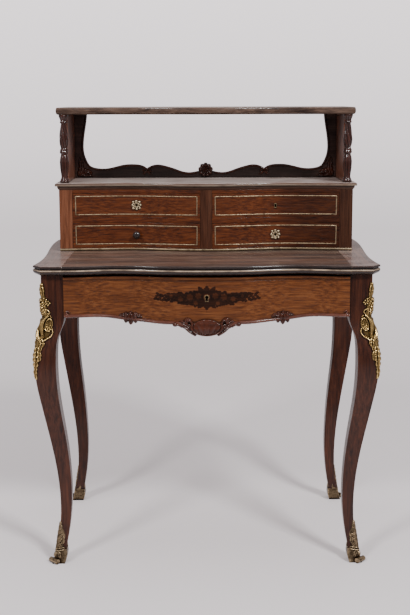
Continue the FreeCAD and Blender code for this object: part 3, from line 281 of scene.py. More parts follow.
# Kinds of finish
@dataclass(frozen=True)
class Wood:
    """A polished wood with streaks, pores, polish, dust with a painted sheen on its level faces, worn edges
    that on pale finishes also paint a highlight, painted shade with some grime in its hollows, and on some
    finishes painted light and shade from side to side.
    """

    name: str
    dark: Colour
    middle: Colour
    light: Colour
    worn: Colour
    rough: float = 0.3
    coat: float = 0.16
    shine: float = 0.22
    wear_and_highlight: float = 0.35
    streaks: float = 1.5
    clouds: float = 0.8
    # Share of dust with a painted sheen of light on level faces
    dust_and_sheen: float = 0.0
    rim: float = 0.0
    gloss: float = 0.0
    # Strength and reach of the painted shade, with some grime, in hollows
    dirt: float = 0.75
    hollow: float = 0.007
    fine: float = 190.0
    # Heights of the painted highlight along the moulded edge
    crest: tuple[float, float] = (0.0, 0.0)
    # Grey factors along X that paint light and shade across a piece
    fade: tuple[Point, ...] = ()
    sway: float = 0.010
    edge: float = 0.0016
    relief: float = 0.00018
    coat_rough: float = 0.08

    def make(self, grain: Grain) -> bpy.types.Material:
        """Builds the wood's material.

        Args:
            grain: The axis of the grain.

        Returns:
            The material.
        """
        material, graph = new_material(f"{self.name}_{grain.name.lower()}")
        spot = graph.spot()
        sway = graph.node("ShaderNodeTexNoise", None, {"Vector": spot, "Scale": 5.0, "Detail": 2.0}, "Color")
        swayed = graph.vector("ADD", spot, graph.vector("MULTIPLY", sway, [self.sway] * 3))
        along = graph.vector("MULTIPLY", swayed, grain.drawn(0.05))
        streak = graph.noise(along, self.fine, 6.0, 0.66)
        cloud = graph.noise(along, 30.0, 3.0, 0.5)
        fibres = graph.vector("MULTIPLY", swayed, grain.drawn(0.03))
        pore = graph.span(graph.noise(fibres, 560.0, 2.0, 0.5), 0.34, 0.44, 1.0, 0.0)
        tone = (streak - 0.5) * self.streaks + (cloud - 0.5) * self.clouds + 0.5
        colour = graph.ramp(tone, ((0.18, self.dark), (0.5, self.middle), (0.86, self.light)))
        colour = graph.mix(pore * 0.5, colour, self.dark)
        level = graph.up()
        colour = self.shade(graph, spot, level, colour)
        # Worn edges: bent edges take the worn colour in patches. Where that colour is pale, it also paints a
        # highlight along the edge.
        patchy = graph.span(graph.noise(spot, 45.0, 4.0, 0.6), 0.4, 0.62, 0.1, 1.0)
        worn = graph.edges(self.edge) * patchy
        colour = graph.mix(worn * self.wear_and_highlight, colour, self.worn)
        rough = (cloud - 0.5) * 0.16 + pore * 0.12 + worn * 0.1 + self.rough
        # Dust with a painted sheen: level faces are mixed in noisy patches towards a pale grey, partly dust
        # and partly a sheen of light painted on them.
        if self.dust_and_sheen:
            wiped = graph.vector("MULTIPLY", swayed, (0.45, 1.0, 1.0))
            dust = level * graph.span(graph.noise(wiped, 26.0, 5.0, 0.66), 0.26, 0.70, 0.3, 1.0)
            colour = graph.mix(dust * self.dust_and_sheen, colour, DUST_AND_SHEEN)
            rough = rough + dust * 0.12
        # Painted shade: where ambient occlusion finds the surface hemmed in, in grooves, recesses and between
        # parts, the colour darkens towards near-black, standing for the shade there and partly for grime.
        shade_and_soiling_mask = graph.span(graph.open_air(self.hollow), 0.42, 0.86, 1.0, 0.0)
        inputs = {
            "Base Color": graph.mix(shade_and_soiling_mask * self.dirt, colour, SHADE_AND_SOILING),
            "Roughness": rough,
            "Coat Weight": (1.0 - level) * self.gloss + self.coat if self.rim else self.coat,
            "Coat Roughness": self.coat_rough,
            "Specular IOR Level": self.shine,
        }
        graph.finish(inputs, streak * 0.25 - pore, self.relief)
        return material

    def shade(self, graph: Graph, spot: Signal, level: Signal, colour: Signal) -> Signal:
        """Paints light and shade on the wood from side to side, darkens its upright faces and paints a
        highlight along its moulded edge.

        Args:
            graph: The material's graph.
            spot: The place on the piece.
            level: The mask of level faces.
            colour: The wood's own colour.

        Returns:
            The shaded colour.
        """
        # Painted light and shade: the colour is multiplied by a grey ramp along X. The right-hand drawers and
        # stiles read darker, as if turned from the light, and the gallery back's ears read lighter than its
        # shaded middle.
        if self.fade:
            stops = [(place + 0.5, rgb(share, share, share)) for place, share in self.fade]
            colour = graph.mix(1.0, colour, graph.ramp(graph.axis(spot, "X") + 0.5, stops), "MULTIPLY")
        if self.rim:
            colour = graph.mix((1.0 - level) * self.rim, colour, self.dark)
        # Painted highlight: a band of heights on the moulded edge, on faces that don't look up, is mixed in
        # patches towards the pale worn colour where light glints on the ovolo.
        if self.crest[1]:
            height = graph.axis(spot, "Z")
            low, high = self.crest
            soft = 0.0006
            above = graph.span(height, low - soft, low, 0.0, 1.0)
            below = graph.span(height, high, high + soft, 1.0, 0.0)
            patchy = graph.span(graph.noise(spot, 26.0, 4.0, 0.6), 0.3, 0.62, 0.25, 0.9)
            colour = graph.mix(above * below * (1.0 - level) * patchy, colour, self.worn)
        return colour


@dataclass(frozen=True)
class Metal:
    """A cast or rolled metal, bright on its ridges and darker in its hollows."""

    name: str
    hollow: Colour
    body: Colour
    ridge: Colour
    rough: float = 0.3
    tarnish: float = 0.35
    depth: float = 0.005
    cells: float = 70.0
    relief: float = 0.0002

    def make(self) -> bpy.types.Material:
        """Builds the metal's material.

        Returns:
            The material.
        """
        material, graph = new_material(self.name)
        spot = graph.spot()
        point = graph.node("ShaderNodeNewGeometry", output="Pointiness")
        stain = graph.noise(spot, self.cells, 4.0, 0.6)
        fine = graph.noise(spot, 900.0, 3.0, 0.6)
        ridge = graph.span(point, 0.46, 0.58, 0.0, 1.0)
        air = graph.span(graph.open_air(self.depth), 0.35, 0.95, 0.0, 1.0)
        height = air * (ridge * 0.55 + 0.45)
        colour = graph.ramp(height, ((0.16, self.hollow), (0.52, self.body), (0.90, self.ridge)))
        cloud = graph.span(stain, 0.42, 0.68, 0.0, 1.0)
        colour = graph.mix(cloud * self.tarnish, colour, self.hollow)
        rough = cloud * 0.18 + fine * 0.12 + self.rough
        inputs = {"Base Color": colour, "Roughness": rough, "Metallic": 1.0}
        graph.finish(inputs, fine + stain * 2.0, self.relief)
        return material


@dataclass(frozen=True)
class PaleFloor:
    """A pale studio floor that runs out into the background."""

    name: str
    colour: Colour
    near: float
    far: float
    glow: float = 0.16

    def make(self) -> bpy.types.Material:
        """Builds the floor's material.

        Returns:
            The material.
        """
        material, graph = new_material(self.name)
        spot = graph.spot()
        reach = graph.node("ShaderNodeVectorMath", {"operation": "LENGTH"}, {0: spot}, 1)
        grit = graph.noise(spot, 300.0, 3.0, 0.6)
        tint = graph.ramp(grit, ((0.3, self.colour), (0.7, tuple(0.985 * part for part in self.colour))))
        inputs = {
            "Base Color": tint, "Roughness": 0.8, "Emission Color": tint, "Emission Strength": self.glow,
        }
        solid = graph.node("ShaderNodeBsdfPrincipled", None, inputs)
        clear = graph.node("ShaderNodeBsdfTransparent")
        share = graph.span(reach, self.near, self.far, 0.0, 1.0)
        graph.close(graph.node("ShaderNodeMixShader", None, {0: share, 1: solid, 2: clear}))
        return material


def rgb(red: float, green: float, blue: float) -> Colour:
    """Gives a linear colour with full alpha."""
    return (red, green, blue, 1.0)


# Finishes, with the colours dark, middle, light and worn of a wood, the worn colour also painting highlights
# on pale edges, and hollow, body and ridge of a metal
# Pale grey for dust with a painted sheen on level faces
DUST_AND_SHEEN = rgb(0.50, 0.425, 0.390)
# Near-black for painted shade, with some grime, in hollows
SHADE_AND_SOILING = rgb(0.005, 0.002, 0.001)
ROSEWOOD = Wood(
    "rosewood", rgb(0.042, 0.012, 0.004), rgb(0.108, 0.032, 0.009), rgb(0.176, 0.063, 0.020),
    rgb(0.022, 0.007, 0.003), wear_and_highlight=0.7, streaks=1.8, clouds=0.3, fine=280.0,
)
TOP_LEAF = Wood(
    "top_veneer", rgb(0.009, 0.003, 0.002), rgb(0.056, 0.022, 0.012), rgb(0.125, 0.058, 0.033),
    rgb(0.44, 0.33, 0.23), rough=0.34, wear_and_highlight=0.5, streaks=2.4, clouds=2.2, dust_and_sheen=0.11, rim=0.92, gloss=0.25,
    crest=(0.7330, 0.7352),
)
TOP_END = Wood(
    "end_veneer", rgb(0.009, 0.003, 0.002), rgb(0.090, 0.034, 0.020), rgb(0.160, 0.068, 0.040),
    rgb(0.44, 0.33, 0.23), rough=0.28, wear_and_highlight=0.5, dust_and_sheen=0.34, rim=0.92, gloss=0.25, crest=(0.7330, 0.7352),
)
# The right-hand drawer fronts darken outwards: painted shade.
CABINET_WOOD = Wood(
    "cabinet_rosewood", rgb(0.022, 0.005, 0.002), rgb(0.086, 0.021, 0.006), rgb(0.158, 0.045, 0.013),
    rgb(0.012, 0.004, 0.002), wear_and_highlight=0.9, streaks=1.7, clouds=0.4, fine=260.0, fade=((0.17, 1.0), (0.25, 0.5)),
)
# Darker from left to right: painted shade.
STILE_WOOD = Wood(
    "stile_rosewood", rgb(0.060, 0.018, 0.007), rgb(0.145, 0.048, 0.022), rgb(0.220, 0.085, 0.042),
    rgb(0.020, 0.007, 0.003), wear_and_highlight=0.8, streaks=1.8, clouds=0.6,
    fade=((-0.34, 0.97), (-0.25, 0.50), (0.3, 0.31)),
)
GALLERY_WOOD = Wood(
    "gallery_rosewood", rgb(0.080, 0.030, 0.018), rgb(0.200, 0.078, 0.048), rgb(0.300, 0.130, 0.082),
    rgb(0.30, 0.14, 0.08), streaks=1.5, clouds=0.6,
)
SHELF_WOOD = Wood(
    "shelf_rosewood", rgb(0.050, 0.028, 0.020), rgb(0.150, 0.074, 0.048), rgb(0.230, 0.120, 0.078),
    rgb(0.20, 0.15, 0.11), rough=0.36, wear_and_highlight=0.8, dust_and_sheen=1.0, rim=0.6, gloss=0.2, crest=(0.9115, 0.9150),
)
CROWN_WOOD = Wood(
    "crown_rosewood", rgb(0.020, 0.010, 0.007), rgb(0.073, 0.042, 0.029), rgb(0.136, 0.085, 0.061),
    rgb(0.46, 0.36, 0.27), rough=0.34, wear_and_highlight=0.9, streaks=1.9, dust_and_sheen=0.55,
)
DARK_ROSEWOOD = Wood(
    "dark_rosewood", rgb(0.012, 0.003, 0.002), rgb(0.040, 0.011, 0.005), rgb(0.078, 0.023, 0.011),
    rgb(0.25, 0.12, 0.08), streaks=1.5, coat=0.14,
)
CARVED_ROSEWOOD = Wood(
    "carved_rosewood", rgb(0.008, 0.002, 0.001), rgb(0.044, 0.010, 0.004), rgb(0.094, 0.023, 0.010),
    rgb(0.30, 0.12, 0.07), rough=0.2, coat=0.24, shine=0.3, wear_and_highlight=0.6, streaks=1.2, dirt=0.95, hollow=0.012,
)
COLUMN_WOOD = Wood(
    "column_rosewood", rgb(0.005, 0.0015, 0.001), rgb(0.030, 0.007, 0.004), rgb(0.066, 0.017, 0.009),
    rgb(0.30, 0.12, 0.07), rough=0.15, coat=0.5, shine=0.4, wear_and_highlight=0.7, streaks=1.2, dirt=0.95, hollow=0.010,
)
BEAD_WOOD = Wood(
    "bead_rosewood", rgb(0.022, 0.006, 0.003), rgb(0.088, 0.024, 0.012), rgb(0.150, 0.048, 0.024),
    rgb(0.30, 0.14, 0.08), rough=0.2, coat=0.35, shine=0.35, wear_and_highlight=0.5, streaks=1.2,
)
# Lighter at the ears than in the middle: painted light.
BACK_WOOD = Wood(
    "back_rosewood", rgb(0.028, 0.016, 0.013), rgb(0.078, 0.044, 0.037), rgb(0.146, 0.082, 0.068),
    rgb(0.12, 0.06, 0.04), rough=0.36, coat=0.08, shine=0.2, wear_and_highlight=0.5, streaks=1.0,
    fade=((-0.335, 1.0), (-0.285, 0.34), (0.285, 0.34), (0.335, 1.0)),
)
OAK_LINING = Wood(
    "oak_lining", rgb(0.14, 0.080, 0.040), rgb(0.29, 0.185, 0.100), rgb(0.40, 0.275, 0.160),
    rgb(0.46, 0.33, 0.21), rough=0.62, coat=0.0, wear_and_highlight=0.3, streaks=1.1, dirt=0.5,
)
EBONISED = Wood(
    "ebonised_wood", rgb(0.003, 0.0025, 0.002), rgb(0.012, 0.006, 0.005), rgb(0.026, 0.014, 0.010),
    rgb(0.09, 0.05, 0.035), rough=0.16, coat=0.9, shine=0.5, streaks=0.9,
)
INLAY_DARK = Wood(
    "inlay_dark", rgb(0.006, 0.002, 0.001), rgb(0.016, 0.005, 0.002), rgb(0.040, 0.011, 0.004),
    rgb(0.12, 0.05, 0.03), rough=0.45, coat=0.05, shine=0.12, streaks=1.5, wear_and_highlight=0.1, dirt=0.2,
)
INLAY_PALE = Wood(
    "inlay_pale", rgb(0.020, 0.006, 0.002), rgb(0.048, 0.014, 0.005), rgb(0.085, 0.029, 0.010),
    rgb(0.28, 0.13, 0.06), rough=0.45, coat=0.05, shine=0.12, streaks=1.3, wear_and_highlight=0.1, dirt=0.2,
)
GILT_BRONZE = Metal(
    "gilt_bronze", rgb(0.010, 0.007, 0.003), rgb(0.120, 0.072, 0.022), rgb(0.86, 0.60, 0.25),
    0.20, 0.5, 0.012, 120.0,
)
SHOE_BRONZE = Metal(
    "shoe_bronze", rgb(0.008, 0.005, 0.003), rgb(0.048, 0.030, 0.016), rgb(0.48, 0.36, 0.22),
    0.25, 0.75, 0.007, 170.0,
)
BRASS_INLAY = Metal(
    "brass_inlay", rgb(0.07, 0.045, 0.024), rgb(0.27, 0.198, 0.120), rgb(0.40, 0.30, 0.19),
    0.42, 0.65, 0.001, 170.0,
)
LOCK_BRASS = Metal(
    "lock_brass", rgb(0.05, 0.034, 0.018), rgb(0.36, 0.27, 0.16), rgb(0.82, 0.68, 0.47),
    0.30, 0.3, 0.003,
)
STRIP_BRASS = Metal(
    "strip_brass", rgb(0.004, 0.003, 0.002), rgb(0.30, 0.22, 0.13), rgb(0.80, 0.64, 0.42),
    0.34, 0.6, 0.008, 60.0,
)
OLD_BRASS = Metal(
    "old_brass", rgb(0.024, 0.015, 0.008), rgb(0.085, 0.060, 0.032), rgb(0.24, 0.18, 0.10),
    0.36, 0.5, 0.002,
)
Finish = Union[Wood, Metal]
PALE_FLOOR = PaleFloor("pale_floor", rgb(0.75, 0.706, 0.717), 0.7, 3.4)


@dataclass
class Workshop:
    """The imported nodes, the finishes made so far, and what every sub-assembly needs from them."""

    nodes: dict[str, bpy.types.Object]
    made: dict[str, bpy.types.Material] = field(default_factory=dict)
    trees: dict[str, BVHTree] = field(default_factory=dict)
    weld_gap: float = 0.00002
    edge_angle: float = math.radians(32.0)

    def finish(self, finish: Finish, grain: Grain | None = None) -> bpy.types.Material:
        """Gives a finish's material, made once.

        Args:
            finish: The finish.
            grain: The axis of the grain of a wood.

        Returns:
            The material.
        """
        key = finish.name + (grain.name if grain else "")
        if key not in self.made:
            self.made[key] = finish.make(grain) if isinstance(finish, Wood) else finish.make()
        return self.made[key]

    def dress(
        self, names: Iterable[str], finish: Finish, grain: Grain | None = None, ease: float = 0.8
    ) -> None:
        """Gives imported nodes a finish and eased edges.

        Args:
            names: The nodes.
            finish: Their finish.
            grain: The axis of the grain of a wood.
            ease: Width of the eased edges in millimetres, or 0 for none.
        """
        material = self.finish(finish, grain)
        for name in names:
            node = self.nodes[name]
            for slot in node.material_slots:
                slot.material = material
            weld = node.modifiers.new("weld", "WELD")
            weld.merge_threshold = self.weld_gap
            if ease:
                bevel = node.modifiers.new("ease", "BEVEL")
                bevel.limit_method = "ANGLE"
                bevel.angle_limit = self.edge_angle
                bevel.width = ease * MM
                bevel.segments = 2
                bevel.use_clamp_overlap = True
                bevel.harden_normals = False
            normal = node.modifiers.new("normals", "WEIGHTED_NORMAL")
            normal.keep_sharp = False
            normal.weight = 60
            log.info("dressed %s with %s", name, material.name)

    def piece(
        self, name: str, mesh: bpy.types.Mesh, material: bpy.types.Material, body: str, slot: str,
        replaces: Sequence[str] = (),
    ) -> bpy.types.Object:
        """Adds a new piece to the model.

        Args:
            name: The piece's name.
            mesh: Its mesh, in rest coordinates.
            material: Its material.
            body: The body that it rides on.
            slot: A material slot name; not used.
            replaces: Nodes that it stands for.

        Returns:
            The piece's object.
        """
        made = bpy.data.objects.new(name, mesh)
        bpy.context.scene.collection.objects.link(made)
        mesh.materials.append(material)
        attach(made, body)
        if replaces:
            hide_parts(*replaces)
        log.info("made %s with %d faces", name, len(mesh.polygons))
        return made

    def strike(self, name: str, start: Vector, aim: Vector) -> Vector | None:
        """Finds where a ray meets a node at rest.

        Args:
            name: The node.
            start: The ray's start.
            aim: Its direction.

        Returns:
            The point, or None where it misses.
        """
        if name not in self.trees:
            mesh = self.nodes[name].data
            points = [vertex.co.copy() for vertex in mesh.vertices]
            faces = [tuple(polygon.vertices) for polygon in mesh.polygons]
            self.trees[name] = BVHTree.FromPolygons(points, faces)
        return self.trees[name].ray_cast(start, aim)[0]


# Carving
def smooth_path(points: Sequence[Sequence[float]], count: int = 48) -> np.ndarray:
    """Runs a smooth curve through points.

    Args:
        points: Two or more points of any dimension.
        count: Samples along the curve.

    Returns:
        The samples, one a row.
    """
    knots = np.asarray(points, float)
    padded = np.vstack([2 * knots[0] - knots[1], knots, 2 * knots[-1] - knots[-2]])
    samples = []
    for place in np.linspace(0.0, len(knots) - 1.0, count):
        index = min(int(place), len(knots) - 2)
        part = place - index
        before, first, second, after = padded[index:index + 4]
        samples.append(
            0.5 * (2 * first + (second - before) * part
                   + (2 * before - 5 * first + 4 * second - after) * part ** 2
                   + (3 * first - before - 3 * second + after) * part ** 3)
        )
    return np.asarray(samples)


def mirrored(points: Iterable[Point], turn: int, middle: float = 0.0) -> list[Point]:
    """Sets points out to one side of a middle line."""
    return [(middle + turn * u, v) for u, v in points]


def arch(square: np.ndarray) -> np.ndarray:
    """Gives the height of an arch of height 1, like half a circle over its base."""
    return np.sqrt(np.clip(1.0 - square, 0.0, 1.0))


class Relief:
    """Carving drawn as heights over a flat sheet in millimetres, then bent onto a face."""

    def __init__(self, low: Point, high: Point, step: float = 0.6) -> None:
        """Lays out the sheet.

        Args:
            low: Its lowest corner.
            high: Its highest corner.
            step: The grid's step.
        """
        across = np.arange(low[0], high[0] + step, step)
        along = np.arange(low[1], high[1] + step, step)
        self.u, self.v = np.meshgrid(across, along)
        self.h = np.full(self.u.shape, BARE)

    def lift(self, heights: np.ndarray | float, where: np.ndarray) -> None:
        """Adds a form by keeping the greater height."""
        self.h = np.maximum(self.h, np.where(where, heights, BARE))

    def clear(self, where: np.ndarray) -> None:
        """Takes the carving away."""
        self.h = np.where(where, BARE, self.h)

    def flatten(self, high: float) -> None:
        """Gives everything that is carved one height."""
        self.h = np.where(self.h > 0.0, high, BARE)

    def rib(self, aside: np.ndarray, half: np.ndarray | float, high: np.ndarray | float) -> None:
        """Adds a round rib along a path."""
        reach = aside / half
        self.lift(high * arch(reach ** 2), np.abs(reach) < 1.0)

    def bead(self, u: float, v: float, wide: float, high: float, tall: float | None = None) -> None:
        """Adds a round or oval bead."""
        reach = ((self.u - u) / wide) ** 2 + ((self.v - v) / (tall or wide)) ** 2
        self.lift(high * arch(reach), reach < 1.0)

    def nearest(self, path: np.ndarray) -> tuple[np.ndarray, np.ndarray]:
        """Finds each grid point's place beside a path.

        Args:
            path: Samples along it.

        Returns:
            The signed distance from the path and the share of its length.
        """
        best = np.full(self.u.shape, 1e9)
        place = np.zeros(self.u.shape)
        aside = np.zeros(self.u.shape)
        steps = np.diff(path, axis=0)
        for index, (start, step) in enumerate(zip(path[:-1], steps)):
            length = float(step @ step) + 1e-12
            du, dv = self.u - start[0], self.v - start[1]
            part = np.clip((du * step[0] + dv * step[1]) / length, 0.0, 1.0)
            gap = np.hypot(du - part * step[0], dv - part * step[1])
            closer = gap < best
            best = np.where(closer, gap, best)
            place = np.where(closer, (index + part) / len(steps), place)
            turn = np.sign(step[0] * dv - step[1] * du)
            aside = np.where(closer, gap * turn, aside)
        return aside, place

    def rope(
        self, points: Sequence[Point], start: float, end: float, high: float, middle: float = 1.0
    ) -> None:
        """Adds a rope of changing width along a smooth curve.

        Args:
            points: Points on the curve.
            start: Half width at its start.
            end: Half width at its end.
            high: Height of its widest part.
            middle: Factor on the half width halfway along.
        """
        aside, place = self.nearest(smooth_path(points))
        half = (start + (end - start) * place) * (1.0 + (middle - 1.0) * np.sin(np.pi * place))
        self.rib(aside, half, high * half / max(start, end))

    def leaf(
        self, points: Sequence[Point], half: float, high: float, lobes: int = 4, cut: float = 0.35,
        blunt: float = 0.6,
    ) -> None:
        """Adds a lobed leaf with a midrib and side veins.

        Args:
            points: Points on its midrib, from stalk to tip.
            half: Greatest half width.
            high: Height.
            lobes: Lobes to a side.
            cut: Depth of the cuts between lobes as a share of the width.
            blunt: How soon the leaf swells, small for a full leaf.
        """
        path = smooth_path(points)
        length = float(np.hypot(*np.diff(path, axis=0).T).sum())
        aside, place = self.nearest(path)
        slant, vein, groove = 0.75, 0.34, 0.42
        swept = place - np.abs(aside) / length * slant
        swell = np.clip(np.sin(np.pi * np.clip(place, 0.0, 1.0) ** 0.8), 0.0, 1.0) ** blunt
        teeth = np.abs(np.sin(np.pi * lobes * swept))
        wide = half * swell * (1.0 - cut * (1.0 - teeth)) + 1e-6
        reach = np.abs(aside) / wide
        crown = arch(reach ** 2.4)
        veins = 1.0 - vein * (1.0 - teeth) ** 2 * np.clip(reach * 1.6, 0.0, 1.0)
        rib = 1.0 - groove * np.exp(-(aside / (0.16 * half)) ** 2)
        rise = 0.72 + 0.28 * np.sin(np.pi * place * 1.15)
        self.lift(high * crown * veins * rib * rise, reach < 1.0)

    def flower(
        self, u: float, v: float, radius: float, high: float, petals: int = 5, turn: float = 0.0
    ) -> None:
        """Adds an open flower.

        Args:
            u: Centre across.
            v: Centre along.
            radius: Its radius.
            high: Height of its petals.
            petals: How many petals.
            turn: Turn in radians.
        """
        du, dv = self.u - u, self.v - v
        far = np.hypot(du, dv) / radius
        wave = np.abs(np.cos(0.5 * petals * (np.arctan2(dv, du) - turn)))
        edge = 0.62 + 0.38 * wave ** 0.6
        reach = far / edge
        cup = (0.45 + 0.75 * far) * arch(reach ** 4) * (0.72 + 0.28 * wave)
        self.lift(high * cup, reach < 1.0)
        self.bead(u, v, 0.28 * radius, high * 1.05)

    def mesh(self, name: str, place: Placer, back: float = 1.0) -> bpy.types.Mesh:
        """Bends the sheet onto its face as a closed mesh.

        Args:
            name: The mesh's name.
            place: Gives points in metres for across, along and height in millimetres.
            back: How far the back lies below the face.

        Returns:
            The mesh.
        """
        solid = self.h > 0.0
        cells = solid[:-1, :-1] | solid[1:, :-1] | solid[:-1, 1:] | solid[1:, 1:]
        used = np.zeros(solid.shape, bool)
        for rows in (slice(None, -1), slice(1, None)):
            for columns in (slice(None, -1), slice(1, None)):
                used[rows, columns] |= cells
        sunk_edge = -0.35 * min(back, 1.0)
        heights = np.where(solid, self.h, sunk_edge)
        index = np.full(solid.shape, -1)
        count = int(used.sum())
        index[used] = np.arange(count)
        front = place(self.u[used], self.v[used], heights[used])
        rear = place(self.u[used], self.v[used], np.full(count, -back))
        rows, columns = np.nonzero(cells)
        first, second = index[rows, columns], index[rows, columns + 1]
        third, fourth = index[rows + 1, columns + 1], index[rows + 1, columns]
        faces = np.stack([first, second, third, fourth], 1)
        rims = []
        framed = np.pad(cells, 1)
        sides = ((first, second, -1, 0), (second, third, 0, 1), (third, fourth, 1, 0), (fourth, first, 0, -1))
        for start, end, row, column in sides:
            bare = ~framed[rows + row + 1, columns + column + 1]
            start, end = start[bare], end[bare]
            rims.append(np.stack([end, start, start + count, end + count], 1))
        everything = np.vstack([faces, faces[:, ::-1] + count] + rims)
        made = bpy.data.meshes.new(name)
        made.from_pydata(np.vstack([front, rear]).tolist(), [], everything.tolist())
        made.validate()
        made.polygons.foreach_set("use_smooth", [True] * len(made.polygons))
        turn_outward(made)
        return made


def turn_outward(mesh: bpy.types.Mesh) -> None:
    """Turns a closed mesh's faces so that they look outward.

    Args:
        mesh: The mesh.
    """
    volume = 0.0
    for polygon in mesh.polygons:
        corners = [mesh.vertices[index].co for index in polygon.vertices]
        for second, third in zip(corners[1:], corners[2:]):
            volume += corners[0].dot(second.cross(third))
    if volume < 0.0:
        mesh.flip_normals()


# Faces that carving is bent onto
@dataclass
class FrontFace:
    """A serpentine front whose plan gives the depth and slope at each place across."""

    across: np.ndarray
    depth: np.ndarray

    @classmethod
    def cast(cls, shop: Workshop, node: str, half: tuple[float, float], level: float) -> "FrontFace":
        """Reads the plan of a node's front by rays from the front.

        Args:
            shop: The workshop.
            node: The node.
            half: Lowest and highest place across, in millimetres.
            level: Height of the rays in millimetres.

        Returns:
            The face.
        """
        across, depth = [], []
        for place in np.arange(half[0], half[1] + 0.1, RAY_STEP):
            hit = shop.strike(node, Vector((place * MM, -1.0, level * MM)), Vector((0.0, 1.0, 0.0)))
            if hit is not None:
                across.append(place)
                depth.append(hit.y / MM)
        return cls(np.asarray(across), np.asarray(depth))

    def place(self, u: np.ndarray, v: np.ndarray, h: np.ndarray) -> np.ndarray:
        """Puts points on the face.

        Args:
            u: Place across in millimetres.
            v: Height above the floor in millimetres.
            h: Height above the face in millimetres.

        Returns:
            Points in metres.
        """
        depth = np.interp(u, self.across, self.depth)
        after = np.interp(u + RAY_STEP, self.across, self.depth)
        before = np.interp(u - RAY_STEP, self.across, self.depth)
        slope = (after - before) / (2.0 * RAY_STEP)
        scale = h / np.sqrt(1.0 + slope ** 2)
        return np.stack([u + slope * scale, depth - scale, v], 1) * MM


@dataclass
class Arris:
    """The outer corner of a leg, with the ways to its front and its side."""

    levels: np.ndarray
    corner: np.ndarray
    side: int
    end: int
    blend: float = 6.0

    @classmethod
    def cast(cls, shop: Workshop, side: Side, end: End, low: float, high: float) -> "Arris":
        """Reads the corner's line by rays at the leg.

        Args:
            shop: The workshop.
            side: The leg's side.
            end: The leg's end.
            low: Lowest level in millimetres.
            high: Highest level.

        Returns:
            The corner.
        """
        name = f"leg_{end.word}_{side.word}"
        mesh = shop.nodes[name].data
        near, levels, corner = 30.0, [], []
        table = np.array([vertex.co[:] for vertex in mesh.vertices]) / MM
        inward, backward = Vector((-side.value, 0, 0)), Vector((0, -end.value, 0))
        for level in np.arange(low, high + 0.1, 2.0 * RAY_STEP):
            ring = table[np.abs(table[:, 2] - level) < near]
            x, y = np.median(ring[:, :2], axis=0) * MM
            outer = shop.strike(name, Vector((side.value, y, level * MM)), inward)
            outside = shop.strike(name, Vector((x, end.value, level * MM)), backward)
            if outer is not None and outside is not None:
                levels.append(level)
                corner.append((outer.x / MM, outside.y / MM))
        return cls(np.asarray(levels), np.asarray(corner), side.value, end.value)

    def place(self, u: np.ndarray, v: np.ndarray, h: np.ndarray) -> np.ndarray:
        """Puts points round the corner: positive on the front, negative on the side.

        Args:
            u: Distance from the corner in millimetres.
            v: Height above the floor in millimetres.
            h: Height above the faces in millimetres.

        Returns:
            Points in metres.
        """
        x = np.interp(v, self.levels, self.corner[:, 0])
        y = np.interp(v, self.levels, self.corner[:, 1])
        share = np.clip((u + self.blend) / (2.0 * self.blend), 0.0, 1.0)
        share = share * share * (3.0 - 2.0 * share)
        angle = share * math.pi / 2.0
        front = np.clip(u, 0.0, None)
        flank = np.clip(-u, 0.0, None)
        x = x - self.side * front + self.side * h * np.cos(angle)
        y = y - self.end * flank + self.end * h * np.sin(angle)
        return np.stack([x, y, v], 1) * MM

    def raised(self, by: float) -> Placer:
        """Gives a placer that stands some millimetres off the faces."""
        return lambda u, v, h: self.place(u, v, h + by)


# Sub-assemblies
@dataclass
class SubAssembly(ABC):
    """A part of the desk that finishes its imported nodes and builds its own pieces."""

    shop: Workshop
    body: str = "stand"

    @abstractmethod
    def dress(self) -> None:
        """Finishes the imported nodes."""

    def build(self) -> None:
        """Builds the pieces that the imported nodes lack, none unless a sub-assembly has some."""

    def carve(
        self, name: str, relief: Relief, place: Placer, back: float, finish: Finish = CARVED_ROSEWOOD,
        slot: str = "carved_rosewood", replaces: Sequence[str] = (), body: str | None = None,
        soft: bool = True,
    ) -> None:
        """Makes a piece by bending a carved sheet onto a face.

        Args:
            name: The piece's name.
            relief: The sheet.
            place: Bends the sheet onto the face.
            back: How far the piece's back lies below the face, in millimetres.
            finish: Its finish, with the grain of a wood across.
            slot: A material slot name, handed on to the piece.
            replaces: Nodes that it stands for.
            body: The body that it rides on, the sub-assembly's own where it is left out.
            soft: Whether the steps of the sheet's grid are smoothed out.
        """
        mesh = relief.mesh(name, place, back)
        material = self.shop.finish(finish, Grain.ACROSS if isinstance(finish, Wood) else None)
        made = self.shop.piece(name, mesh, material, body or self.body, slot, replaces)
        if soft:
            smooth = made.modifiers.new("soften", "SMOOTH")
            smooth.factor = 0.5
            smooth.iterations = 2


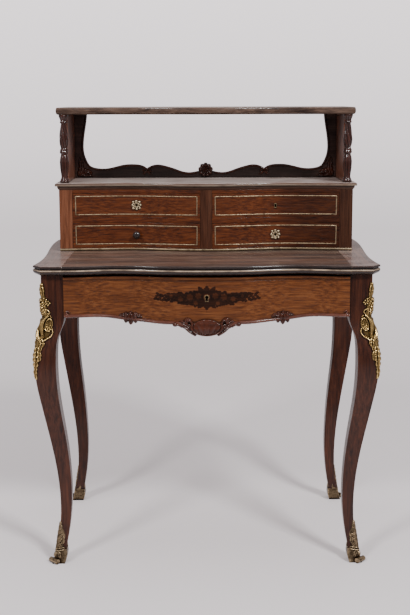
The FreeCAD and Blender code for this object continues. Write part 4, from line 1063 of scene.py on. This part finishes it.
@dataclass
class Stand(SubAssembly):
    """The legs with their gilt chutes and sabots, the aprons, the runners and the bearers."""

    chute_foot: float = 471.0
    chute_head: float = 708.0
    shoe_head: float = 106.0

    def dress(self) -> None:
        """Finishes the stand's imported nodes."""
        sides = [side.word for side in Side]
        legs = [f"leg_{end.word}_{side}" for end in End for side in sides]
        self.shop.dress(legs, DARK_ROSEWOOD, Grain.UPRIGHT, 1.4)
        self.shop.dress([f"apron_{side}" for side in sides], ROSEWOOD, Grain.DEEP)
        self.shop.dress(["apron_back"], DARK_ROSEWOOD, Grain.ACROSS)
        self.shop.dress(["drawer_runners", "leaf_bearers"], OAK_LINING, Grain.DEEP, 0.6)
        self.shop.dress([f"sabot_{end.word}_{side}" for end in End for side in sides], SHOE_BRONZE, None, 0.9)

    def build(self) -> None:
        """Builds the chutes and the leaves of the sabots."""
        for side in Side:
            self.build_chute(side)
            for end in End:
                self.build_shoe_leaf(side, end)

    def build_chute(self, side: Side) -> None:
        """Builds one chute of flowers, scrolls and leaves down a front leg's corner.

        Args:
            side: The leg's side.
        """
        relief = Relief((-34.0, self.chute_foot), (46.0, self.chute_head), 0.55)
        spine = (
            (2, 698), (5, 668), (8, 645), (10, 625), (5, 612), (5, 598), (8, 586), (9, 575), (6, 566),
            (5, 552), (4, 530), (3, 508), (2, 488), (2, 476),
        )
        relief.rope(spine, 4.6, 3.0, 4.6, 1.45)
        grounds = (
            (12, 598, 17.0, 1.8, 31.0), (-8, 598, 13.0, 1.8, 26.0), (4, 548, 9.0, 2.2, 28.0),
            (5, 654, 11.0, 2.2, 18.0),
        )
        for ground in grounds:
            relief.bead(*ground)
        relief.bead(2.5, 701, 3.2, 5.6)
        relief.leaf(((2, 699), (4, 684), (5, 666)), 5.4, 6.4, 2, 0.2)
        relief.leaf(((0, 696), (-5, 684), (-6, 670)), 4.6, 5.4, 2, 0.2)
        flowers = ((7, 662, 8.0, 0.4), (15, 656, 7.4, 0.0), (3, 650, 7.0, 0.9), (-6, 660, 7.0, 0.2))
        for u, v, radius, turn in flowers:
            relief.flower(u, v, radius, 7.2, 5, turn)
        relief.leaf(((6, 644), (7, 634), (4, 622)), 6.6, 7.0, 3, 0.28)
        relief.leaf(((-3, 646), (-10, 637), (-14, 623)), 6.0, 6.0, 3, 0.28)
        relief.rope(((8, 641), (14, 639), (19, 634), (16, 629), (13, 632)), 2.4, 2.0, 5.4)
        self.add_rocaille(relief, 18.5, 604.0, 9.5, 16.5)
        self.add_rocaille(relief, -15.0, 602.0, 8.5, 14.5)
        relief.rope(((15, 625), (7, 617), (3, 606), (5, 594), (8, 583)), 3.4, 4.4, 8.4, 1.2)
        relief.rope(((2, 606), (-3, 594), (-1, 581), (5, 570)), 2.8, 3.2, 7.4, 1.3)
        scroll = ((28, 594), (32, 585), (29, 577), (22, 572), (16, 567), (14, 561), (18, 559))
        relief.rope(scroll, 2.2, 3.2, 6.4, 1.0)
        relief.bead(17.0, 562.0, 3.4, 8.0)
        relief.rope(((-20, 592), (-24, 582), (-18, 575), (-12, 577)), 2.4, 2.8, 5.6, 1.1)
        relief.leaf(((7, 574), (12, 560), (11, 540)), 8.0, 7.6, 3, 0.3)
        relief.leaf(((-3, 577), (-10, 564), (-9, 546)), 6.6, 6.4, 3, 0.3)
        relief.leaf(((4, 556), (5, 527), (3, 492)), 9.0, 7.4, 5, 0.32, 0.7)
        relief.leaf(((9, 542), (13, 532), (13, 518)), 4.6, 5.4, 2, 0.25)
        relief.leaf(((-1, 542), (-7, 532), (-7, 518)), 4.4, 5.0, 2, 0.25)
        relief.leaf(((3, 502), (2, 489), (2, 474)), 4.6, 5.4, 2, 0.25)
        relief.bead(2, 476, 2.8, 4.4)
        arris = Arris.cast(self.shop, side, End.FRONT, self.chute_foot - 8, self.chute_head + 8)
        name = f"chute_{side.word}"
        self.carve(f"{name}_gilt", relief, arris.place, 1.2, GILT_BRONZE, "gilt_bronze", [name])

    @staticmethod
    def add_rocaille(relief: Relief, u: float, v: float, wide: float, tall: float) -> None:
        """Adds an oval shell with a raised rim and flutes.

        Args:
            relief: The sheet.
            u: Centre across.
            v: Centre along.
            wide: Half width.
            tall: Half height.
        """
        du, dv = (relief.u - u) / wide, (relief.v - v) / tall
        far = np.hypot(du, dv)
        flute = np.abs(np.sin(4.5 * np.arctan2(dv, du)))
        inner = 2.2 + 1.6 * flute * np.clip(far, 0.0, 1.0)
        relief.lift(inner, far < 0.86)
        rim = arch(((far - 0.86) / 0.16) ** 2)
        relief.lift(5.6 * rim, rim > 0.0)

    def build_shoe_leaf(self, side: Side, end: End) -> None:
        """Builds the leaf that runs up a foot's outer corner from its sabot.

        Args:
            side: The foot's side.
            end: The foot's end.
        """
        relief = Relief((-19.0, 10.0), (19.0, self.shoe_head), 0.55)
        relief.leaf(((0, 36), (0, 68), (0, 103)), 9.5, 3.6, 6, 0.34, 0.55)
        for level in (31.0, 36.5):
            relief.rope(((-17, level + 2), (0, level), (17, level + 2)), 1.7, 1.7, 2.6)
        for turn in (-1, 1):
            relief.leaf(mirrored(((4, 36), (11, 50), (12, 66)), turn), 5.0, 2.8, 3, 0.3)
            relief.leaf(mirrored(((2, 30), (9, 22), (13, 12)), turn), 5.0, 2.4, 2, 0.3)
        relief.bead(0, 23, 4.6, 4.0, 6.0)
        arris = Arris.cast(self.shop, side, end, 10.0, self.shoe_head + 8.0)
        name = f"sabot_leaf_{end.word}_{side.word}"
        self.carve(name, relief, arris.raised(1.9), 2.4, SHOE_BRONZE, "gilt_bronze")


@dataclass
class WritingTop(SubAssembly):
    """The sliding leaf and the fixed ends and rail round it."""

    def dress(self) -> None:
        """Finishes the top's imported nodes."""
        self.shop.dress(["writing_leaf", "top_rear_rail"], TOP_LEAF, Grain.ACROSS, 0.7)
        self.shop.dress(["top_end_left", "top_end_right"], TOP_END, Grain.DEEP, 0.7)


@dataclass
class FriezeDrawer(SubAssembly):
    """The long drawer with its marquetry, cartouche, carved leaves and lock."""

    body: str = "frieze_drawer"
    half_width: float = 336.0
    plain_level: float = 700.0
    cartouche_foot: float = 577.0
    cartouche_head: float = 626.0

    def dress(self) -> None:
        """Finishes the drawer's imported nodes."""
        self.shop.dress(["frieze_drawer_front"], ROSEWOOD, Grain.ACROSS, 0.8)
        self.shop.dress(["frieze_drawer_linings"], OAK_LINING, Grain.DEEP, 0.5)
        self.shop.dress(["frieze_drawer_bottom"], OAK_LINING, Grain.ACROSS, 0.5)
        self.shop.dress(["frieze_lock"], OLD_BRASS, None, 0.0)

    @cached_property
    def face(self) -> FrontFace:
        """The drawer's front, read once."""
        reach = (-self.half_width, self.half_width)
        return FrontFace.cast(self.shop, "frieze_drawer_front", reach, self.plain_level)

    def build(self) -> None:
        """Builds the carving and the marquetry."""
        self.build_cartouche()
        self.build_leaves()
        self.build_marquetry()
        self.build_bead()

    def build_bead(self) -> None:
        """Builds the rounded bead along the lower edge and the scrolls at its ends."""
        edge = []
        inset, under, half_bead = 5.0, 500.0, 3.3
        for place in np.arange(-self.half_width, self.half_width + 0.1, 2.0 * RAY_STEP):
            depth = float(np.interp(place, self.face.across, self.face.depth)) + inset
            below = Vector((place, depth, under)) * MM
            hit = self.shop.strike("frieze_drawer_front", below, Vector((0.0, 0.0, 1.0)))
            if hit is not None:
                edge.append((place, hit.z / MM + half_bead))
        relief = Relief((-338.0, 576.0), (338.0, 640.0), 0.7)
        aside, _ = relief.nearest(np.asarray(edge))
        relief.rib(aside, 4.2, 4.6)
        for turn in (-1, 1):
            curl = mirrored(((318, 626), (327, 628), (333, 633), (329, 637), (325, 634)), turn)
            relief.rope(curl, 2.6, 1.8, 4.6)
        self.carve("frieze_edge_bead", relief, self.face.place, 0.8, BEAD_WOOD, replaces=["frieze_bead"])

    def build_cartouche(self) -> None:
        """Builds the shell shield and the scrolls beside it."""
        relief = Relief((-86.0, self.cartouche_foot), (86.0, self.cartouche_head), 0.55)
        du, dv = relief.u / 40.0, (relief.v - 600.0) / 22.5
        far = np.hypot(du, dv)
        fan = np.arctan2(relief.u, relief.v - 545.0)
        flutes = np.abs(np.cos(fan * 13.0)) ** 0.6
        dome = 9.0 * arch(0.55 * far ** 2) * (0.80 + 0.20 * flutes)
        relief.lift(dome, far < 0.80)
        rim = arch(((far - 0.90) / 0.11) ** 2)
        relief.lift(rim * 10.5, (rim > 0.0) & (dv < 0.4))
        beads = ((44.5, 616, 5.2, 9.4), (75, 606, 6.4, 8.0), (68, 605, 3.6, 5.0), (81.5, 609.5, 3.0, 4.0))
        for turn in (-1, 1):
            relief.rope(mirrored(((28, 581), (41, 589), (53, 599), (66, 604)), turn), 3.8, 2.6, 6.4, 1.1)
            relief.leaf(mirrored(((33, 592), (46, 603), (58, 610), (66, 609)), turn), 8.0, 6.4, 4, 0.32)
            relief.leaf(mirrored(((46, 598), (58, 601), (68, 603)), turn), 4.6, 5.0, 3, 0.3)
            curl = ((34, 606), (39, 615), (47, 619), (51, 614), (46, 610))
            relief.rope(mirrored(curl, turn), 3.2, 2.6, 7.0, 1.1)
            for u, v, wide, high in beads:
                relief.bead(turn * u, v, wide, high)
        self.carve("frieze_cartouche_carving", relief, self.face.place, 1.5, replaces=["frieze_cartouche"])

    def build_leaves(self) -> None:
        """Builds the pair of carved leaves on the lower edge."""
        relief = Relief((-212.0, 600.0), (212.0, 637.0), 0.55)
        for turn in (-1, 1):
            relief.leaf(mirrored(((181, 631), (181, 617), (181, 601)), turn), 8.6, 6.6, 2, 0.18)
            relief.leaf(mirrored(((178, 629), (171, 617), (169, 605)), turn), 7.2, 5.8, 2, 0.18)
            relief.leaf(mirrored(((184, 629), (191, 617), (193, 605)), turn), 7.2, 5.8, 2, 0.18)
            relief.leaf(mirrored(((170, 624), (162, 625), (153, 620)), turn), 4.8, 4.6, 3, 0.3)
            relief.leaf(mirrored(((192, 624), (200, 625), (209, 622)), turn), 4.8, 4.6, 3, 0.3)
            for u, v, radius in ((170, 628, 4.8), (192, 628, 4.8), (181, 630, 4.4)):
                relief.bead(turn * u, v, radius, 6.6)
        self.carve("frieze_leaf_carving", relief, self.face.place, 2.5, replaces=["frieze_carved_leaves"])

    def build_marquetry(self) -> None:
        """Builds the inlaid flowers and sprays round the keyhole."""
        dark, pale = (Relief((-128.0, 634.0), (128.0, 704.0), 0.5) for _ in range(2))
        flowers = ((20, 674, 14.0), (40, 671, 15.0), (62, 666, 12.0), (26, 656, 10.0), (84, 673, 8.0))
        chance = np.random.default_rng(7)
        for turn in (-1, 1):
            stem = smooth_path(((8, 670), (34, 664), (62, 671), (92, 669), (122, 674)), 24)
            dark.rope(mirrored(stem, turn), 2.4, 0.8, 0.2)
            for index in range(1, 23):
                u, v = stem[index]
                share = index / 23.0
                rise = 1 if index % 2 else -1
                length = (26.0 - 14.0 * share) * chance.uniform(0.8, 1.2)
                lean = chance.uniform(0.35, 0.75)
                tip = (u + length * math.cos(lean), v + rise * length * math.sin(lean))
                bend = ((u + tip[0]) / 2, (v + tip[1]) / 2 + rise * 2.5)
                dark.leaf(mirrored(((u, v), bend, tip), turn), 6.4 - 3.0 * share, 0.2, 3, 0.3)
                pale.rope(mirrored(((u, v), bend), turn), 0.45, 0.3, 0.2)
            for u, v, radius in flowers:
                dark.flower(turn * u, v, radius, 0.2, 6, 0.3)
                pale.flower(turn * u, v, radius * 0.55, 0.26, 6, 0.3)
        for tip in (698.0, 640.0):
            dark.leaf(((0, 670), (0, (670 + tip) / 2), (0, tip)), 10.0, 0.2, 4, 0.3)
        for turn in (-1, 1):
            dark.leaf(mirrored(((6, 680), (14, 688), (20, 696)), turn), 6.0, 0.2, 3, 0.3)
            dark.leaf(mirrored(((6, 656), (14, 650), (22, 645)), turn), 5.0, 0.2, 3, 0.3)
        dark.lift(0.2, np.abs(dark.u) / 96.0 + np.abs(dark.v - 668.0) / 22.0 < 1.0)
        keyhole = np.hypot(dark.u, dark.v - 670.5)
        layers = (
            ("frieze_inlay_dark", dark, INLAY_DARK, 7.5, 0.16),
            ("frieze_inlay_pale", pale, INLAY_PALE, 9.0, 0.24),
        )
        for name, relief, wood, clearance, high in layers:
            relief.clear(keyhole < clearance)
            relief.flatten(high)
            self.carve(name, relief, self.face.place, 0.3, wood, "dark_rosewood", soft=False)


@dataclass
class Cabinet(SubAssembly):
    """The low cabinet with its four small drawers, brass lines and fittings."""

    columns: tuple[str, str] = ("left", "right")
    rows: tuple[str, str] = ("upper", "lower")
    escutcheons: tuple[tuple[str, float, float], ...] = (
        ("upper_left_drawer", -178.5, 861.4), ("lower_right_drawer", 178.5, 785.4),
    )

    def dress(self) -> None:
        """Finishes the cabinet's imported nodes."""
        upright = ["cabinet_side_left", "cabinet_side_right", "cabinet_stiles"]
        self.shop.dress(upright, STILE_WOOD, Grain.UPRIGHT, 0.7)
        self.shop.dress(["cabinet_rails"], CABINET_WOOD, Grain.ACROSS, 0.5)
        self.shop.dress(["cabinet_shelf"], SHELF_WOOD, Grain.ACROSS, 0.6)
        boards = ["cabinet_floor", "cabinet_back", "cabinet_dust_boards"]
        self.shop.dress(boards, OAK_LINING, Grain.ACROSS, 0.5)
        self.shop.dress(["cabinet_partition", "cabinet_drawer_guides"], OAK_LINING, Grain.DEEP, 0.5)
        self.shop.dress(["cabinet_foot_strip"], STRIP_BRASS, None, 0.9)
        for row in self.rows:
            for column in self.columns:
                self.dress_drawer(f"{row}_{column}_drawer")

    def dress_drawer(self, drawer: str) -> None:
        """Finishes one small drawer.

        Args:
            drawer: The drawer's name.
        """
        self.shop.dress([f"{drawer}_front"], CABINET_WOOD, Grain.ACROSS, 0.7)
        self.shop.dress([f"{drawer}_box"], OAK_LINING, Grain.DEEP, 0.4)
        self.shop.dress([f"{drawer}_stringing"], BRASS_INLAY, None, 0.0)
        if f"{drawer}_lock" in self.shop.nodes:
            self.shop.dress([f"{drawer}_lock"], OLD_BRASS, None, 0.0)
        if f"{drawer}_knob" in self.shop.nodes:
            self.shop.dress([f"{drawer}_knob"], EBONISED, Grain.DEEP, 0.3)

    def build(self) -> None:
        """Builds the pierced escutcheons."""
        for drawer, u, v in self.escutcheons:
            plate = FrontFace.cast(self.shop, f"{drawer}_lock", (u - 15.0, u + 15.0), v + 6.0)
            plate.depth[:] = plate.depth.min()
            relief = Relief((u - 16.0, v - 16.0), (u + 16.0, v + 16.0), 0.4)
            far = np.hypot(relief.u - u, relief.v - v)
            relief.lift(1.3, np.abs(far - 5.4) < 1.6)
            for index in range(8):
                angle = math.pi / 4.0 * index
                reach = 11.6 if index % 2 else 10.2
                across, along = math.cos(angle), math.sin(angle)
                relief.bead(u + reach * across, v + reach * along, 2.7, 1.9)
                curl = [(5.5, 0.0), (8.5, 2.8), (11.5, 2.2), (11.0, -0.6)]
                turned = [(u + a * across - b * along, v + a * along + b * across) for a, b in curl]
                relief.rope(turned, 1.1, 0.9, 1.5)
            name = f"{drawer}_escutcheon"
            self.carve(name, relief, plate.place, 0.3, LOCK_BRASS, "lock_brass", body=drawer, soft=False)


# Shares of a column's height with the radius there in millimetres
COLUMN_PROFILE: tuple[Point, ...] = (
    (0.000, 11.8), (0.030, 12.0), (0.045, 10.5), (0.060, 10.0), (0.075, 8.6), (0.100, 8.4), (0.140, 9.4),
    (0.220, 11.2), (0.310, 11.9), (0.370, 10.6), (0.410, 8.4), (0.425, 8.2), (0.435, 10.4), (0.455, 11.2),
    (0.475, 10.0), (0.488, 10.8), (0.500, 8.4), (0.520, 8.2), (0.560, 10.2), (0.630, 11.9), (0.700, 11.2),
    (0.780, 9.0), (0.850, 7.2), (0.868, 6.8), (0.880, 9.0), (0.895, 9.2), (0.905, 7.8), (0.930, 8.8),
    (0.960, 10.8), (0.975, 11.8), (1.000, 12.0),
)


@dataclass
class Gallery(SubAssembly):
    """The open gallery: sides, carved columns, scrolled back and moulded top."""

    foot: float = 919.0
    head: float = 1091.0
    column_at: tuple[float, float] = (361.0, 27.0)
    back_face: float = 218.0

    def dress(self) -> None:
        """Finishes the gallery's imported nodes."""
        self.shop.dress(["gallery_side_left", "gallery_side_right"], GALLERY_WOOD, Grain.UPRIGHT, 0.7)
        self.shop.dress(["gallery_back"], BACK_WOOD, Grain.ACROSS, 0.7)
        self.shop.dress(["gallery_top"], CROWN_WOOD, Grain.ACROSS, 0.6)

    def build(self) -> None:
        """Builds the columns, the rosette and the crest."""
        for side in Side:
            self.build_column(side)
        self.build_rosette()
        self.build_crest()

    def column_radius(self, share: np.ndarray, angle: np.ndarray) -> np.ndarray:
        """Gives a column's radius: turned, fluted at the bulb, twisted above it, lobed at the head.

        Args:
            share: Share of the column's height.
            angle: Angle round it in radians.

        Returns:
            The radius in millimetres.
        """
        shares, radii = zip(*COLUMN_PROFILE)
        radius = np.interp(share, shares, radii)
        swell = np.clip(np.sin(np.pi * (share - 0.085) / 0.325), 0.0, 1.0)
        bulb = swell * ((share > 0.085) & (share < 0.41))
        radius = radius * (1.0 - 0.30 * bulb * (1.0 - np.abs(np.sin(4.0 * angle)) ** 0.7))
        leafed = (share > 0.508) & (share < 0.872)
        wave = np.abs(np.sin(3.0 * angle + 14.0 * share))
        radius = radius * np.where(leafed, 0.70 + 0.31 * wave ** 0.7, 1.0)
        capital = (share > 0.912) & (share < 0.972)
        return radius * np.where(capital, 0.76 + 0.25 * np.abs(np.sin(4.0 * angle)) ** 0.6, 1.0)

    def build_column(self, side: Side) -> None:
        """Builds one turned and carved column.

        Args:
            side: The column's side.
        """
        rows, turns = 240, 96
        share = np.linspace(0.0, 1.0, rows)[:, None]
        angle = np.linspace(0.0, 2.0 * np.pi, turns, endpoint=False)[None, :]
        radius = self.column_radius(share, angle)
        height = (self.foot + share * (self.head - self.foot)) * np.ones_like(angle)
        x = side.value * self.column_at[0] + radius * np.cos(angle)
        y = self.column_at[1] + radius * np.sin(angle)
        points = np.stack([x, y, height], 2).reshape(-1, 3) * MM
        index = np.arange(rows * turns).reshape(rows, turns)
        after = np.roll(index, -1, axis=1)
        faces = np.stack([index[:-1], after[:-1], after[1:], index[1:]], 2).reshape(-1, 4).tolist()
        faces += [index[0, ::-1].tolist(), index[-1].tolist()]
        name = f"gallery_column_{side.word}"
        mesh = bpy.data.meshes.new(f"{name}_carving")
        mesh.from_pydata(points.tolist(), [], faces)
        mesh.polygons.foreach_set("use_smooth", [True] * (len(faces) - 2) + [False] * 2)
        turn_outward(mesh)
        material = self.shop.finish(COLUMN_WOOD, Grain.UPRIGHT)
        self.shop.piece(f"{name}_carving", mesh, material, self.body, "carved_rosewood", [name])

    def build_rosette(self) -> None:
        """Builds the carved rosette on the gallery's back."""
        relief = Relief((-24.0, self.foot + 0.5), (24.0, self.foot + 44.0), 0.5)
        for index in range(9):
            angle = index / 9.0 * 2.0 * math.pi + math.pi / 2.0
            u, v = 14.0 * math.cos(angle), self.foot + 20.0 + 14.0 * math.sin(angle)
            relief.bead(u, v, 6.0, 6.6)
        relief.bead(0, self.foot + 20.0, 13.0, 4.6)
        relief.flower(0, self.foot + 20.0, 9.5, 8.4, 6, 0.4)
        name = "gallery_rosette"
        self.carve(f"{name}_carving", relief, self.on_back, 13.5, replaces=[name])

    def on_back(self, u: np.ndarray, v: np.ndarray, h: np.ndarray) -> np.ndarray:
        """Puts points on the front face of the gallery's back."""
        return np.stack([u, self.back_face - h, v], 1) * MM

    def on_half(self, side: Side) -> Placer:
        """Gives a placer for one half of the back, with distances from its middle."""
        return lambda u, v, h: self.on_back(side.value * u, v, h)

    def build_crest(self) -> None:
        """Builds the moulded rim of the back, the scrolls at its notches and the leaves in its corners."""
        half_rim, notch = 2.6, 159
        # The rays run inside the board, from its opening to its edge
        middle = (self.back_face + 7.0) * MM
        down, out = Vector((0.0, 0.0, -1.0)), Vector((1.0, 0.0, 0.0))
        ear = []
        for level in np.arange(962.0, self.head - 2.0, 6.0):
            hit = self.shop.strike("gallery_back", Vector((0.2, middle, level * MM)), out)
            ear.append((hit.x / MM + half_rim, level))
        edge = []
        for place in np.arange(26.0, ear[0][0] - 2.0, 3.0):
            hit = self.shop.strike("gallery_back", Vector((place * MM, middle, 1.03)), down)
            edge.append((place, hit.z / MM - half_rim))
        edge += ear
        for side in Side:
            relief = Relief((20.0, self.foot), (368.0, self.head), 0.7)
            aside, _ = relief.nearest(np.asarray(edge))
            relief.rib(aside, half_rim, 2.2)
            for turn in (-1, 1):
                curl = mirrored(((3, 941), (8, 942), (10, 937), (6, 934), (4, 937)), turn, notch)
                relief.rope(curl, 2.0, 1.5, 3.6)
                relief.leaf(mirrored(((2, 938), (7, 930), (15, 927)), turn, notch), 3.4, 2.6, 3, 0.3)
            relief.bead(notch, 936, 2.6, 3.6)
            relief.leaf(((346, 922), (338, 945), (341, 975)), 9.0, 4.4, 4, 0.32)
            relief.leaf(((343, 922), (326, 936), (308, 933)), 8.5, 4.6, 4, 0.32)
            relief.leaf(((336, 923), (318, 925), (300, 923)), 4.6, 3.6, 3, 0.3)
            relief.bead(312, 931, 4.0, 5.4)
            relief.clear(relief.v < self.foot + 0.6)
            self.carve(f"gallery_crest_{side.word}", relief, self.on_half(side), 0.6)


# Stage
@dataclass
class Studio:
    """The floor, the pale surroundings, the lights and the camera."""

    camera_at: tuple[float, float, float] = (-0.0136, -2.9373, 1.1316)
    pitch: float = 10.279
    yaw: float = -0.2
    roll: float = -0.139
    lens: float = 67.6
    floor_half: float = 6.0
    fill: float = 0.27
    sensor: float = 36.0
    aim: tuple[float, float, float] = (0.0, 0.0, 0.6)
    backdrop: tuple[tuple[float, Colour], ...] = (
        (0.28, rgb(1.05, 0.970, 0.990)), (0.42, rgb(1.40, 1.29, 1.32)), (0.70, rgb(1.80, 1.66, 1.70)),
    )
    lights: tuple[tuple[str, tuple[float, float, float], float, float], ...] = (
        ("key_light", (2.88, -4.48, 4.96), 1.1, 375.0),
        ("side_light", (-3.04, -4.48, 4.64), 1.0, 190.0),
        ("top_light", (0.0, 0.3, 3.0), 2.4, 24.0),
    )

    def build(self) -> None:
        """Builds the stage."""
        self.build_floor()
        self.build_world()
        self.build_lights()
        self.build_camera()

    def build_floor(self) -> None:
        """Lays the floor."""
        half = self.floor_half
        mesh = bpy.data.meshes.new("studio_floor")
        corners = [(-half, -half, 0.0), (half, -half, 0.0), (half, half, 0.0), (-half, half, 0.0)]
        mesh.from_pydata(corners, [], [(0, 1, 2, 3)])
        floor = bpy.data.objects.new("studio_floor", mesh)
        bpy.context.scene.collection.objects.link(floor)
        mesh.materials.append(PALE_FLOOR.make())
        log.info("laid the floor")

    def build_world(self) -> None:
        """Sets the pale backdrop, brighter above the floor line, and its softer light."""
        world = bpy.data.worlds.new("studio_world")
        world.use_nodes = True
        graph = Graph(world.node_tree)
        rise = graph.axis(graph.node("ShaderNodeTexCoord", output="Generated"), "Z")
        shade = graph.ramp(rise * 2.0 + 0.5, self.backdrop)
        seen = graph.node("ShaderNodeLightPath", output="Is Camera Ray")
        power = seen * (1.0 - self.fill) + self.fill
        light = graph.node("ShaderNodeBackground", None, {"Color": shade, "Strength": power})
        graph.close(light, "ShaderNodeOutputWorld")
        bpy.context.scene.world = world

    def build_lights(self) -> None:
        """Hangs the soft lights."""
        aim = Vector(self.aim)
        for name, place, extent, power in self.lights:
            light = bpy.data.lights.new(name, "AREA")
            light.size = extent
            light.energy = power
            lamp = bpy.data.objects.new(name, light)
            lamp.location = place
            lamp.rotation_euler = (aim - Vector(place)).to_track_quat("-Z", "Y").to_euler()
            bpy.context.scene.collection.objects.link(lamp)
            log.info("hung %s", name)

    def build_camera(self) -> None:
        """Stands the camera where the photograph was taken from."""
        camera = bpy.data.cameras.new("photo_camera")
        camera.lens = self.lens
        camera.sensor_width = self.sensor
        stand = bpy.data.objects.new("photo_camera", camera)
        tilt = Matrix.Rotation(math.radians(90.0 - self.pitch), 4, "X")
        turn = Matrix.Rotation(math.radians(self.roll), 4, "Z")
        aside = Matrix.Rotation(math.radians(self.yaw), 4, "Z")
        stand.matrix_world = Matrix.Translation(self.camera_at) @ aside @ tilt @ turn
        bpy.context.scene.collection.objects.link(stand)
        bpy.context.scene.camera = stand
        log.info("stood the camera")


def plain(bounds: Iterable[Iterable[float]]) -> list[list[float]]:
    """Turns a box into plain lists of numbers."""
    return [[float(part) for part in corner] for corner in bounds]


def main() -> None:
    """Loads the frame, dresses it, and builds the pieces and the stage."""
    logging.basicConfig(level=logging.INFO, format="%(message)s")
    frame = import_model()
    shop = Workshop(dict(frame["nodes"]))
    Studio().build()
    for kind in (Stand, WritingTop, FriezeDrawer, Cabinet, Gallery):
        part = kind(shop)
        part.dress()
        part.build()


if __name__ == "__main__":
    main()
